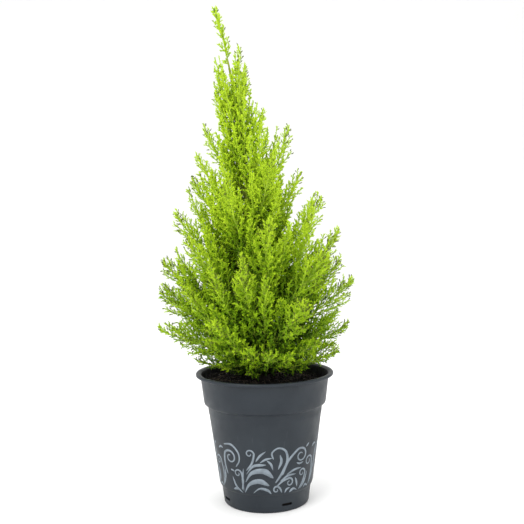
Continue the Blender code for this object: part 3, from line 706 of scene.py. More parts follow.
@dataclass
class PrintedBand:
    """A band of scrolls and fern leaves, a traditional ornament, printed thinly round the body."""

    pot: Pot
    repeats: int = 3
    middle_height: float = 0.043
    proud: float = 0.00009
    sunk: float = 0.0003
    ends: int = 3
    bluntest: float = 0.02
    fine_steps: int = 12
    step: float = 1.0
    fewest_points: int = 10
    curl_bow: float = 0.10
    curl_shrink: float = 0.72
    curl_ease: float = 0.9
    curl_points: int = 10
    fewest_curl_points: int = 6
    points: list[np.ndarray] = field(default_factory=list)
    faces: list[np.ndarray] = field(default_factory=list)
    count: int = 0

    def stroke(self, line: list[tuple[float, float]], width: float, kind: Stroke) -> None:
        """Adds a stroke in every repeat of the band.

        Args:
            line: (around, up) places in millimetres, through which a smooth line runs.
            width: the stroke's greatest width in millimetres.
            kind: how the width runs.
        """
        path = self.smooth_line(np.array(line, float))
        ways = unit(np.gradient(path, axis=0))
        across = np.stack([-ways[:, 1], ways[:, 0]], axis=1)
        share = np.linspace(0, 1, len(path))
        widths = width * np.interp(share, np.linspace(0, 1, len(kind.value)), kind.value) / 2
        in_from_end = np.minimum(1.0, np.minimum(share, 1 - share) * len(path) / self.ends)
        widths *= np.sqrt(np.maximum(in_from_end * (2 - in_from_end), self.bluntest))
        left, right = path + across * widths[:, None], path - across * widths[:, None]
        for repeat in range(self.repeats):
            self.ribbon(left, right, repeat * math.tau / self.repeats)

    def smooth_line(self, line: np.ndarray) -> np.ndarray:
        """A smooth line through the points, in even steps."""
        ends = [2 * line[0] - line[1], *line, 2 * line[-1] - line[-2]]
        fine = []
        for before, start, end, after in zip(ends, ends[1:], ends[2:], ends[3:]):
            for share in np.linspace(0, 1, self.fine_steps, endpoint=False):
                bend = (end - before) * share + (2 * before - 5 * start + 4 * end - after) * share**2
                fine.append(start + 0.5 * (bend + (3 * start - before - 3 * end + after) * share**3))
        fine = np.array([*fine, line[-1]])
        gone = np.concatenate([[0], np.cumsum(np.linalg.norm(np.diff(fine, axis=0), axis=1))])
        even = np.linspace(0, gone[-1], max(self.fewest_points, int(gone[-1] / self.step)))
        return np.stack([np.interp(even, gone, fine[:, axis]) for axis in range(2)], axis=1)

    def on_wall(self, flat: np.ndarray, turn: float, proud: float) -> np.ndarray:
        """Places on the wall, or a little proud of it, for (around, up) places in millimetres."""
        height = flat[:, 1] * MM
        radius = np.array([self.pot.wall_radius(up) for up in height]) + proud
        angle = flat[:, 0] * MM / self.pot.wall_radius(self.middle_height) + turn
        return np.stack([radius * np.sin(angle), -radius * np.cos(angle), height], axis=1)

    def ribbon(self, left: np.ndarray, right: np.ndarray, turn: float) -> None:
        """Adds one closed ribbon, its back sunk in the wall."""
        rows = [
            self.on_wall(left, turn, self.proud), self.on_wall(right, turn, self.proud),
            self.on_wall(right, turn, -self.sunk), self.on_wall(left, turn, -self.sunk),
        ]
        length = len(left)
        number = self.count + np.arange(4 * length).reshape(4, length)
        for row in range(4):
            here, there = number[row], number[(row + 1) % 4]
            self.faces.append(np.stack([here[:-1], there[:-1], there[1:], here[1:]], axis=1))
        self.faces.append(number[:, :1].T[:, ::-1])
        self.faces.append(number[:, -1:].T)
        self.points += rows
        self.count += 4 * length

    def curl(self, foot: tuple[float, float], eye: tuple[float, float], radius: float,
             turns: float, hand: int, width: float) -> None:
        """A stem that rises from its foot and rolls up round an eye.

        Args:
            foot: where the stem starts, as (around, up) in millimetres.
            eye: the middle of the curl.
            radius: the curl's outer radius in millimetres.
            turns: how many turns it makes.
            hand: 1 to roll anticlockwise, or -1.
            width: the stroke's greatest width in millimetres.
        """
        away = math.atan2(eye[1] - foot[1], eye[0] - foot[0])
        start = away - hand * math.pi / 2
        touch = (eye[0] + radius * math.cos(start), eye[1] + radius * math.sin(start))
        bow = hand * self.curl_bow * math.dist(foot, touch)
        middle = ((foot[0] + touch[0]) / 2 + bow * math.sin(away),
                  (foot[1] + touch[1]) / 2 - bow * math.cos(away))
        line = [foot, middle]
        steps = max(self.fewest_curl_points, round(turns * self.curl_points))
        for step in range(steps + 1):
            share = step / steps
            angle = start + hand * math.tau * turns * share
            reach = radius * (1 - self.curl_shrink * share**self.curl_ease)
            line.append((eye[0] + reach * math.cos(angle), eye[1] + reach * math.sin(angle)))
        self.stroke(line, width, Stroke.CURL)

    def draw(self) -> None:
        """Lays out one repeat of the band: a fern fan amid scrolls, curls and dashes."""
        for foot, eye, radius, turns, hand, width in (
            ((-19.5, 43), (-15.5, 60), 4.4, 1.1, 1, 2.1),
            ((-26, 23), (-29.5, 39), 4.3, 1.1, 1, 2.1),
            ((-43, 36), (-37, 54), 7.6, 1.25, -1, 2.4),
            ((16, 38), (36, 55), 8.0, 1.25, -1, 2.4),
            ((10, 27), (24, 30), 4.4, 1.1, -1, 2.2),
            ((16, 20.5), (10, 24), 3.6, 1.0, 1, 2.1),
            ((36, 21), (39, 37), 4.6, 1.1, 1, 2.2),
            ((52, 22), (48, 47), 5.6, 1.15, 1, 2.2),
        ):
            self.curl(foot, eye, radius, turns, hand, width)
        for kind, width, line in (
            (Stroke.LEAF, 5.2, [(-23, 20.5), (-17, 29.5), (-7, 33), (3, 28.5)]),
            (Stroke.LEAF, 5.8, [(-21.5, 31), (-14, 41), (-2, 43), (7, 36)]),
            (Stroke.LEAF, 3.0, [(-20, 39), (-12, 48), (0, 49.5)]),
            (Stroke.LEAF, 2.8, [(-14, 20.5), (-7, 25.5), (1, 24), (5, 20)]),
            (Stroke.BLADE, 2.2, [(-10, 52), (-6, 58), (0, 63)]),
            (Stroke.BLADE, 2.2, [(-6, 51.5), (0, 55), (6, 56)]),
            (Stroke.BLADE, 2.2, [(-24, 22), (-24.5, 33), (-22.5, 45)]),
            (Stroke.BLADE, 2.2, [(-27, 21.5), (-33, 26), (-36.5, 35)]),
            (Stroke.LEAF, 2.6, [(-25, 20), (-31, 23.5), (-37, 22)]),
            (Stroke.CURL, 2.2, [(-44, 66), (-34, 67), (-27, 60), (-26.5, 52), (-31, 45)]),
            (Stroke.DASH, 2.0, [(-38, 42), (-33, 40.5)]),
            (Stroke.CURL, 2.8, [(9, 31), (16, 41), (20.5, 52), (18.5, 62), (11.5, 65.5), (5.5, 61),
                                (7, 54.5)]),
            (Stroke.BLADE, 2.8, [(13, 59), (14.5, 52), (11.5, 44)]),
            (Stroke.DASH, 2.2, [(0.5, 54), (4.5, 50), (6.5, 44)]),
            (Stroke.BLADE, 2.2, [(20, 38), (29, 42), (38, 42.5)]),
            (Stroke.BLADE, 2.2, [(14, 32.5), (22, 37), (31, 37.5)]),
            (Stroke.DASH, 2.0, [(31, 48.5), (35, 47), (40, 48)]),
            (Stroke.DASH, 2.2, [(30.5, 34), (32.5, 29), (33.5, 24)]),
            (Stroke.BLADE, 2.2, [(38, 21), (44, 28), (47, 37)]),
            (Stroke.BLADE, 2.0, [(19, 20), (21, 23.5), (25, 25)]),
            (Stroke.LEAF, 2.6, [(34, 20.5), (29, 23), (24, 20)]),
            (Stroke.DASH, 2.0, [(42, 62), (46, 65.5)]),
            (Stroke.BLADE, 2.2, [(54, 24), (58, 33), (58.5, 44)]),
            (Stroke.BLADE, 2.2, [(51, 21), (46, 23.5), (43, 21)]),
            (Stroke.DASH, 2.0, [(52, 60), (56, 62.5), (60, 61.5)]),
        ):
            self.stroke(line, width, kind)

    def build(self) -> bpy.types.Object:
        """Makes the band as one piece."""
        self.draw()
        walls = [faces for faces in self.faces if len(faces) > 1]
        caps = [faces for faces in self.faces if len(faces) == 1]
        band = mesh_piece("printed_band", np.concatenate(self.points), np.concatenate(walls + caps))
        close_and_face_out(band)
        band.data.materials.append(PrintedInk().material())
        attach(band, "root")
        return band


# The compost


@dataclass
class Compost:
    """Lumpy peat with crumbs, clods and pale strands on top."""

    pot: Pot
    level: float = 0.1210
    tilt: float = -0.035
    lump: float = 0.0016
    lump_span: float = 0.011
    fine_lump: float = 0.9 * MM
    fine_span: float = 4.5 * MM
    finest_lump: float = 0.45 * MM
    finest_span: float = 1.8 * MM
    seat_radius: float = 0.0105
    crumb_count: int = 4200
    crumb_least: float = 0.35 * MM
    crumb_spread: float = 1.35 * MM
    crumb_rarity: int = 4
    crumb_raised: float = 0.25
    crumb_rough: Span = (0.62, 1.25)
    crumb_squash: Span = (0.7, 1.2)
    crumb_from_wall: float = 1.6 * MM
    strand_count: int = 220
    strand_points: int = 7
    strand_lengths_mm: Span = (4.0, 15.0)
    strand_bow: float = 0.25
    strand_lift: float = 0.25 * MM
    strand_arch_mm: float = 1.6
    strand_radii_mm: Span = (0.10, 0.24)
    strand_from_wall: float = 9 * MM
    steps: int = 150
    rings: int = 44
    seed: int = 5

    def edge(self) -> float:
        """The radius at which the compost's top meets the wall, a hair clear."""
        pot = self.pot
        rise = pot.height - pot.lip_depth - (pot.collar_foot + 3 * MM)
        share = (self.level - pot.collar_foot - 3 * MM) / rise
        foot = pot.collar_foot_radius - pot.wall - GAP
        return foot + share * (pot.collar_top_radius - pot.collar_foot_radius)

    def height(self, x: float, y: float) -> float:
        """The height of the compost's top, as the solid has it and with finer lumps."""
        away = math.hypot(x, y) - self.seat_radius
        fade = min(1.0, max(0.0, away / self.seat_radius))
        lump = self.lump * noise.noise(Vector((x, y, 0.0)) / self.lump_span)
        fine = self.fine_lump * noise.noise(Vector((x, y, 0.02)) / self.fine_span)
        finest = self.finest_lump * noise.noise(Vector((x, y, 0.05)) / self.finest_span)
        return self.level + fade * (self.tilt * x + lump + fine) + finest * min(1.0, fade + 0.4)

    def body(self) -> bpy.types.Object:
        """The compost's body, spun to the pot's inside and then made lumpy on top."""
        edge = self.edge()
        top = [(edge * ring / self.rings, self.level) for ring in range(self.rings + 1)]
        inner = [(radius - GAP, height) for radius, height in self.pot.inside()[4:-2]]
        floor = self.pot.wall + GAP
        under = [(inner[-1][0], max(inner[-1][1], floor + 0.4 * MM)), (0.0, floor)]
        soil = turned("compost", [*top, *inner[:-1], *under], self.steps)
        for corner in soil.data.vertices:
            x, y, z = corner.co
            if z > self.level - 0.1 * MM and math.hypot(x, y) < edge - 0.1 * MM:
                corner.co.z = self.height(x, y)
        smooth(soil, SOFT_ANGLE)
        soil.data.materials.clear()
        soil.data.materials.append(Peat().material("peat"))
        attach(soil, "root")
        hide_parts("soil")
        return soil

    def crumbs(self) -> bpy.types.Object:
        """Clods and crumbs of peat, one rough lump copied many times."""
        deselect_all()
        bpy.ops.mesh.primitive_ico_sphere_add(subdivisions=1, radius=1.0)
        lump = bpy.context.object
        ball = np.array([corner.co for corner in lump.data.vertices])
        sides = np.array([list(side.vertices) for side in lump.data.polygons])
        bpy.data.objects.remove(lump)
        chance = np.random.default_rng(self.seed)
        count, edge = self.crumb_count, self.edge() - self.crumb_from_wall
        radius = edge * np.sqrt(chance.uniform(0.012, 1, count))
        bearing = chance.uniform(0, math.tau, count)
        size = self.crumb_least + self.crumb_spread * chance.uniform(0, 1, count) ** self.crumb_rarity
        x, y = radius * np.cos(bearing), radius * np.sin(bearing)
        z = np.array([self.height(*spot) for spot in zip(x, y)]) + size * self.crumb_raised
        rough = ball[None] * chance.uniform(*self.crumb_rough, (count, len(ball), 1))
        rough = rough * chance.uniform(*self.crumb_squash, (count, 1, 3)) * size[:, None, None]
        points = rough + np.stack([x, y, z], axis=1)[:, None]
        faces = sides[None] + (np.arange(count) * len(ball))[:, None, None]
        piece = mesh_piece("peat_crumbs", points.reshape(-1, 3), faces.reshape(-1, 3))
        piece.data.materials.append(Peat().material("peat_crumb", lighter=1.5))
        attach(piece, "root")
        return piece

    def strands(self) -> bpy.types.Object:
        """Short pale fibres that lie on the compost and stand a little out of it."""
        chance = np.random.default_rng(self.seed + 1)
        count, edge = self.strand_count, self.edge() - self.strand_from_wall
        radius = edge * np.sqrt(chance.uniform(0.02, 1, count))
        bearing, heading = chance.uniform(0, math.tau, (2, count))
        length = chance.uniform(*self.strand_lengths_mm, count) * MM
        start = np.stack([radius * np.cos(bearing), radius * np.sin(bearing)], axis=1)
        way = np.stack([np.cos(heading), np.sin(heading)], axis=1)
        inward = np.linalg.norm(start + way * length[:, None], axis=1) > edge
        way[inward] *= -1
        sag = np.stack([-way[:, 1], way[:, 0]], axis=1) * chance.normal(0, self.strand_bow, count)[:, None]
        flat = curved(start, start + (way * 0.5 + sag) * length[:, None],
                      start + way * length[:, None], self.strand_points)
        ground = np.array([[self.height(*spot) for spot in line] for line in flat])
        rise = np.sin(np.linspace(0, math.pi, self.strand_points))
        arch = rise * chance.uniform(0.1, 1.0, count)[:, None]
        lines = np.dstack([flat, ground + self.strand_lift + arch * self.strand_arch_mm * MM])
        thick = chance.uniform(*self.strand_radii_mm, count)[:, None] * MM
        piece = mesh_piece("peat_strands", *tubes(lines, np.repeat(thick, self.strand_points, axis=1), 4))
        piece.data.materials.append(Fibre().material())
        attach(piece, "root")
        return piece

    def build(self) -> list[bpy.types.Object]:
        """All the compost's pieces."""
        return [self.body(), self.crumbs(), self.strands()]


# The trunk, the boughs and the crown


def from_table(table: Table, places: np.ndarray | float) -> np.ndarray:
    """The values of a table of (place, value) at places, straight between its rows."""
    rows, values = zip(*table)
    return np.interp(places, rows, values)


def outward(bearing: float) -> np.ndarray:
    """The level direction at a bearing."""
    return np.array([math.cos(bearing), math.sin(bearing), 0.0])


def numbered(counts: np.ndarray) -> tuple[np.ndarray, np.ndarray]:
    """Every item's owner, and its number there, for owners with these counts of items."""
    owner = np.repeat(np.arange(len(counts)), counts)
    return owner, np.arange(counts.sum()) - np.repeat(np.cumsum(counts) - counts, counts)


@dataclass
class Trunk:
    """The leaning trunk with its flare, and the line of the leader above it."""

    soil_level: float = 0.1210
    tree_top: float = 0.5010
    top: float = 0.4400
    foot_radius: float = 0.0040
    top_radius: float = 0.0012
    flare: float = 0.0030
    flare_fade: float = 0.0050
    lean: float = -0.0280
    tip_lean: float = -0.0170
    sway: float = 0.0022
    sway_waves: float = 2.6
    taper_ease: float = 0.8
    sides: int = 20
    flare_rings: int = 16
    flare_top: float = 0.030
    shaft_foot: float = 0.034
    shaft_rings: int = 84
    strip_round: float = 2.2
    strip_rise: float = 70.0
    strip_relief: float = 0.13
    swell_round: float = 0.4
    swell_rise: float = 160.0
    swell_relief: float = 0.06

    def middle(self, height: np.ndarray) -> np.ndarray:
        """The middle of the trunk, or of the leader, at heights."""
        height = np.asarray(height, float)
        rise = np.maximum(0.0, height - self.soil_level) / (self.tree_top - self.soil_level)
        bend = self.sway * np.sin(self.sway_waves * math.pi * rise) * rise
        return np.stack([self.lean * rise + self.tip_lean * rise**5, bend, height], axis=-1)

    def radius(self, height: np.ndarray) -> np.ndarray:
        """The trunk's radius at heights, with the flare at its foot."""
        above = np.maximum(0.0, np.asarray(height, float) - self.soil_level)
        share = np.minimum(1.0, above / (self.top - self.soil_level))
        taper = self.foot_radius + (self.top_radius - self.foot_radius) * share**self.taper_ease
        return taper + self.flare * np.exp(-above / self.flare_fade)

    def build(self) -> bpy.types.Object:
        """The trunk, drawn up ring by ring and given its bark's relief."""
        heights = np.concatenate([
            np.linspace(self.soil_level + GAP, self.soil_level + self.flare_top, self.flare_rings),
            np.linspace(self.soil_level + self.shaft_foot, self.top, self.shaft_rings),
        ])
        middles, radii = self.middle(heights), self.radius(heights)
        deselect_all()
        bpy.ops.mesh.primitive_circle_add(
            vertices=self.sides, radius=radii[0], fill_type="NGON", location=middles[0])
        piece = bpy.context.object
        piece.name = piece.data.name = "trunk_bark"
        bpy.ops.object.mode_set(mode="EDIT")
        bpy.ops.mesh.select_all(action="SELECT")
        for below, here, thick, thin in zip(middles, middles[1:], radii, radii[1:]):
            bpy.ops.mesh.extrude_region_move(TRANSFORM_OT_translate={"value": tuple(here - below)})
            size = float(thin / thick)
            bpy.ops.transform.resize(value=(size, size, 1.0), center_override=tuple(here))
        bpy.ops.object.mode_set(mode="OBJECT")
        settle(piece)
        close_and_face_out(piece)
        for corner in piece.data.vertices:
            place = corner.co
            middle = Vector(self.middle(place.z))
            away = place - middle
            around = math.atan2(away.y, away.x)
            strips = noise.noise(Vector((
                math.cos(around) * self.strip_round, math.sin(around) * self.strip_round,
                place.z * self.strip_rise)))
            swell = noise.noise(Vector((around * self.swell_round, 3.0, place.z * self.swell_rise)))
            if place.z > self.soil_level + 1.2 * GAP:
                corner.co = middle + away * (1 + self.strip_relief * strips + self.swell_relief * swell)
        smooth(piece, SOFT_ANGLE)
        piece.data.materials.clear()
        piece.data.materials.append(Bark().material())
        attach(piece, "root")
        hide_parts("trunk")
        return piece


@dataclass
class Plumes:
    """The middle lines and own spaces of the crown's plumes, by the rule of the solids.

    Attributes:
        reach: how far the crown reaches in depth, by height.
        slant: how many degrees a plume leans out, by the height of its tip.
        outline_tips: the tips that show at the crown's outline, as (x, height).
        outline_depth: what share of their depth those tips keep.
        top_depth: how far the crown's top reaches at least in depth, by height.
        count: how many plumes the solids have, apart from the leader.
        inner: how many finer plumes fill the crown between them.
        space_profile: how the width of a plume's space runs from its root to its tip.
        side_slack: how far shoots may stand out past the line between two outline tips.
        leader_least: how far the shoots of the leader may reach sideways, by height.
    """

    trunk: Trunk
    reach: Table = (
        (0.137, 0.052), (0.153, 0.074), (0.175, 0.095), (0.205, 0.099), (0.240, 0.097),
        (0.262, 0.090), (0.285, 0.081), (0.305, 0.074), (0.325, 0.061), (0.350, 0.053),
        (0.382, 0.044), (0.400, 0.028), (0.420, 0.019), (0.450, 0.014), (0.501, 0.006),
    )
    slant: Table = (
        (0.140, 72.0), (0.178, 65.0), (0.215, 55.0), (0.255, 47.0), (0.300, 40.0), (0.350, 33.0),
        (0.385, 28.0), (0.415, 21.0), (0.460, 17.0),
    )
    outline_tips: Table = (
        (-0.068, 0.143), (0.073, 0.153), (-0.091, 0.169), (0.088, 0.172), (-0.102, 0.177),
        (-0.105, 0.211), (0.090, 0.222), (-0.106, 0.242), (0.080, 0.242), (0.076, 0.272),
        (-0.087, 0.292), (0.062, 0.308), (-0.071, 0.327), (0.040, 0.332), (-0.064, 0.349),
        (0.030, 0.381), (-0.059, 0.384), (0.003, 0.396), (-0.046, 0.415), (-0.014, 0.442),
        (-0.020, 0.457),
    )
    outline_depth: float = 0.6
    top_depth: Table = ((0.400, 0.026), (0.462, 0.026), (0.501, 0.006))

    # Named plumes
    lowest_root: float = 0.1270
    root_step: float = 0.0024
    lowest_tip: float = 0.146
    highest_tip: float = 0.458
    top_favour: float = 0.030
    count: int = 40
    boughs: int = 15
    seed: int = 12
    leader_width: float = 0.013
    first_bearing: float = math.radians(138)
    reach_spread: float = 0.07
    reach_favour: Span = (-1.0, 0.6)
    outward_first: float = 0.56
    rise_first: float = 0.38
    space_share: float = 0.21
    space_base: float = 0.0065
    space_profile: Table = ((0.0, 0.35), (0.4, 1.0), (0.7, 0.72), (1.0, 0.22))
    samples: int = 16
    points: int = 31

    # Finer plumes between them
    inner: int = 185
    inner_heights: Span = (0.134, 0.455)
    inner_reach: Span = (0.25, 0.98)
    inner_slant: float = 0.72
    inner_space: float = 0.64
    inner_turn: float = 1.1
    inner_low: float = 1.2
    inner_outward: float = 0.65
    inner_root: float = 0.004
    inner_root_spread: float = 0.012

    # Outline
    side_slack: float = 0.0018
    skirt_drop: float = 0.02
    skirt_reach: float = 0.05
    leader_reach: float = 6 * MM
    leader_from: float = 0.462
    leader_least: Table = ((0.44, 9 * MM), (0.47, 7 * MM), (0.50, 5 * MM))
    height_samples: int = 200
    batch: int = 6000

    def __post_init__(self) -> None:
        """Works out every plume's line and the widths of its space."""
        tips = np.array(self.tips() + self.inner_tips())
        roots, widest = [], []
        for index, tip in enumerate(tips):
            inner = index >= self.count
            reach = float(np.linalg.norm(tip - self.trunk.middle(tip[2])))
            slant = float(from_table(self.slant, tip[2]))
            lowest = self.lowest_root + index * self.root_step
            if inner:
                slant *= self.inner_slant
                lowest = self.trunk.soil_level + self.inner_root
                lowest += self.inner_root_spread * self.chance.random()
            rise = reach / math.tan(math.radians(slant))
            roots.append(self.trunk.middle(max(tip[2] - rise, lowest)))
            size = self.space_base + self.space_share * reach
            widest.append(size * (self.inner_space if inner else 1.0))
        roots = np.array(roots)
        elbows = roots + (tips - roots) * self.outward_first
        elbows[:, 2] = roots[:, 2] + (tips[:, 2] - roots[:, 2]) * self.rise_first
        leader = self.trunk.middle(np.linspace(self.trunk.top, self.trunk.tree_top, self.points))
        lines = curved(roots, elbows, tips, self.points)
        self.lines = np.concatenate([lines[:self.count], leader[None], lines[self.count:]])
        widest.insert(self.count, self.leader_width)
        self.widest = np.array(widest)
        shares = np.linspace(0, 1, self.samples)
        rows = np.arange(len(self.lines))
        owner, share = np.repeat(rows, self.samples), np.tile(shares, len(rows))
        self.sampled = along(self.lines, owner, share)[0].reshape(len(rows), self.samples, 3)
        self.widths = self.width(owner, share).reshape(len(rows), self.samples)

    def width(self, owner: np.ndarray, share: np.ndarray) -> np.ndarray:
        """The width of a plume's space at shares of its line."""
        return self.widest[owner] * from_table(self.space_profile, share)

    def tip_height(self, share: float) -> float:
        """The height below which this share of the plumes have their tips."""
        heights = np.linspace(self.lowest_tip, self.highest_tip, self.height_samples)
        girth = np.cumsum(from_table(self.reach, heights) + self.top_favour)
        return float(np.interp(share * girth[-1], girth, heights))

    def tips(self) -> list[np.ndarray]:
        """The plumes' tips from the lowest up."""
        chance = random.Random(self.seed)
        tips = []
        for index in range(self.count):
            height = self.tip_height((index + 0.5) / self.count)
            bearing = self.first_bearing + index * GOLDEN_ANGLE
            reach = float(from_table(self.reach, height))
            reach *= 1 + self.reach_spread * chance.uniform(*self.reach_favour)
            tips.append(self.trunk.middle(height) + reach * outward(bearing))
        spare = list(range(self.count))
        for x, z in self.outline_tips:
            goal = np.array([x, 0.0, z])
            nearest = min(spare, key=lambda index: float(np.linalg.norm(tips[index] - goal)))
            spare.remove(nearest)
            tips[nearest] = np.array([x, tips[nearest][1] * self.outline_depth, z])
        return sorted(tips, key=lambda tip: tip[2])

    def inner_tips(self) -> list[np.ndarray]:
        """The tips of the plumes that fill the crown from inside, between the outer ones."""
        self.chance = random.Random(self.seed + 1)
        low, high = self.inner_heights
        least, most = self.inner_reach
        tips = []
        for index in range(self.inner):
            height = low + (high - low) * ((index + 0.5) / self.inner) ** self.inner_low
            side = outward(self.first_bearing + self.inner_turn + index * GOLDEN_ANGLE)
            middle = self.trunk.middle(height)
            outwardness = float(self.outwardness((middle + side * MM)[None])[0])
            share = least + (most - least) * self.chance.random() ** self.inner_outward
            tips.append(middle + MM / outwardness * share * side)
        return tips

    def crowding(self, points: np.ndarray, own: np.ndarray) -> tuple[np.ndarray, np.ndarray]:
        """Each point's distance to its own plume and to the nearest other one, in their widths.

        Args:
            points: places, shaped (points, 3).
            own: each point's own plume.

        Returns:
            The two shares for each point.
        """
        mine, others = np.empty(len(points)), np.empty(len(points))
        for start in range(0, len(points), self.batch):
            part = slice(start, start + self.batch)
            offsets = points[part, None, None] - self.sampled[None]
            shares = np.sqrt((offsets**2).sum(-1)) / self.widths[None]
            nearest = shares.min(axis=2)
            rows = np.arange(len(nearest))
            mine[part] = nearest[rows, own[part]]
            nearest[rows, own[part]] = np.inf
            others[part] = nearest.min(axis=1)
        return mine, others

    def side_reach(self, side: int, heights: np.ndarray) -> np.ndarray:
        """How far the crown reaches to the left (-1) or to the right (1) at heights."""
        skirt = (self.lowest_tip - self.skirt_drop, self.skirt_reach * side)
        top = self.trunk.tree_top
        crest = (top, float(self.trunk.middle(top)[0]) + self.leader_reach * side)
        x = from_table((skirt, *self.outline_tips_of(side), crest), heights) + self.side_slack * side
        least = from_table(self.leader_least, heights)
        most = np.where(heights > self.leader_from, least, 1.0)
        return np.clip((x - self.trunk.middle(heights)[:, 0]) * side, least, most)

    def outline_tips_of(self, side: int) -> list[tuple[float, float]]:
        """The outline's tips on one side as (height, x), from the lowest up."""
        return sorted(
            (z, x) for x, z in self.outline_tips
            if (x - float(self.trunk.middle(z)[0])) * side > self.leader_reach
        )

    def shares_out(self, points: np.ndarray) -> tuple[np.ndarray, np.ndarray]:
        """How far out points are sideways and in depth, as shares of the crown's reach."""
        heights = points[:, 2]
        offset = points - self.trunk.middle(heights)
        left, right = self.side_reach(-1, heights), self.side_reach(1, heights)
        across = offset[:, 0] / np.where(offset[:, 0] < 0, left, right)
        depth = np.maximum(from_table(self.reach, heights), from_table(self.top_depth, heights))
        return np.abs(across), np.abs(offset[:, 1] / depth)

    def outwardness(self, points: np.ndarray) -> np.ndarray:
        """How far out in the crown points are, from 0 at the trunk to 1 at its outline."""
        return np.hypot(*self.shares_out(points))

    def within(self, points: np.ndarray) -> np.ndarray:
        """Whether points are inside the crown's outline and its depth."""
        return np.maximum(*self.shares_out(points)) < 1.0


@dataclass
class Shoots:
    """Many shoots of one order: their lines, thicknesses, plumes and lengths."""

    lines: np.ndarray
    thick: np.ndarray
    plume: np.ndarray
    lengths: np.ndarray = field(init=False)

    def __post_init__(self) -> None:
        """Measures the lines."""
        self.lengths = np.linalg.norm(np.diff(self.lines, axis=1), axis=2).sum(axis=1)

    def tube_mesh(self, sides: int, tip_share: float) -> tuple[np.ndarray, ...]:
        """The shoots as tubes that thin towards their tips."""
        taper = np.linspace(1.0, tip_share, self.lines.shape[1])
        return tubes(self.lines, self.thick[:, None] * taper, sides)


@dataclass(frozen=True)
class Habit:
    """How the shoots of one order grow.

    Attributes:
        least: a shoot shorter than this is given up.
        slack: how many widths of its plume's space a shoot may reach.
        straight: the share of its length up to its bend.
        bent: the share of its length beyond the bend.
        follow: how strongly it bends towards its parent's direction.
        lift: how strongly it bends upwards.
        points: how many points its line has.
    """

    least: float
    slack: float
    straight: float
    bent: float
    follow: float
    lift: float
    points: int


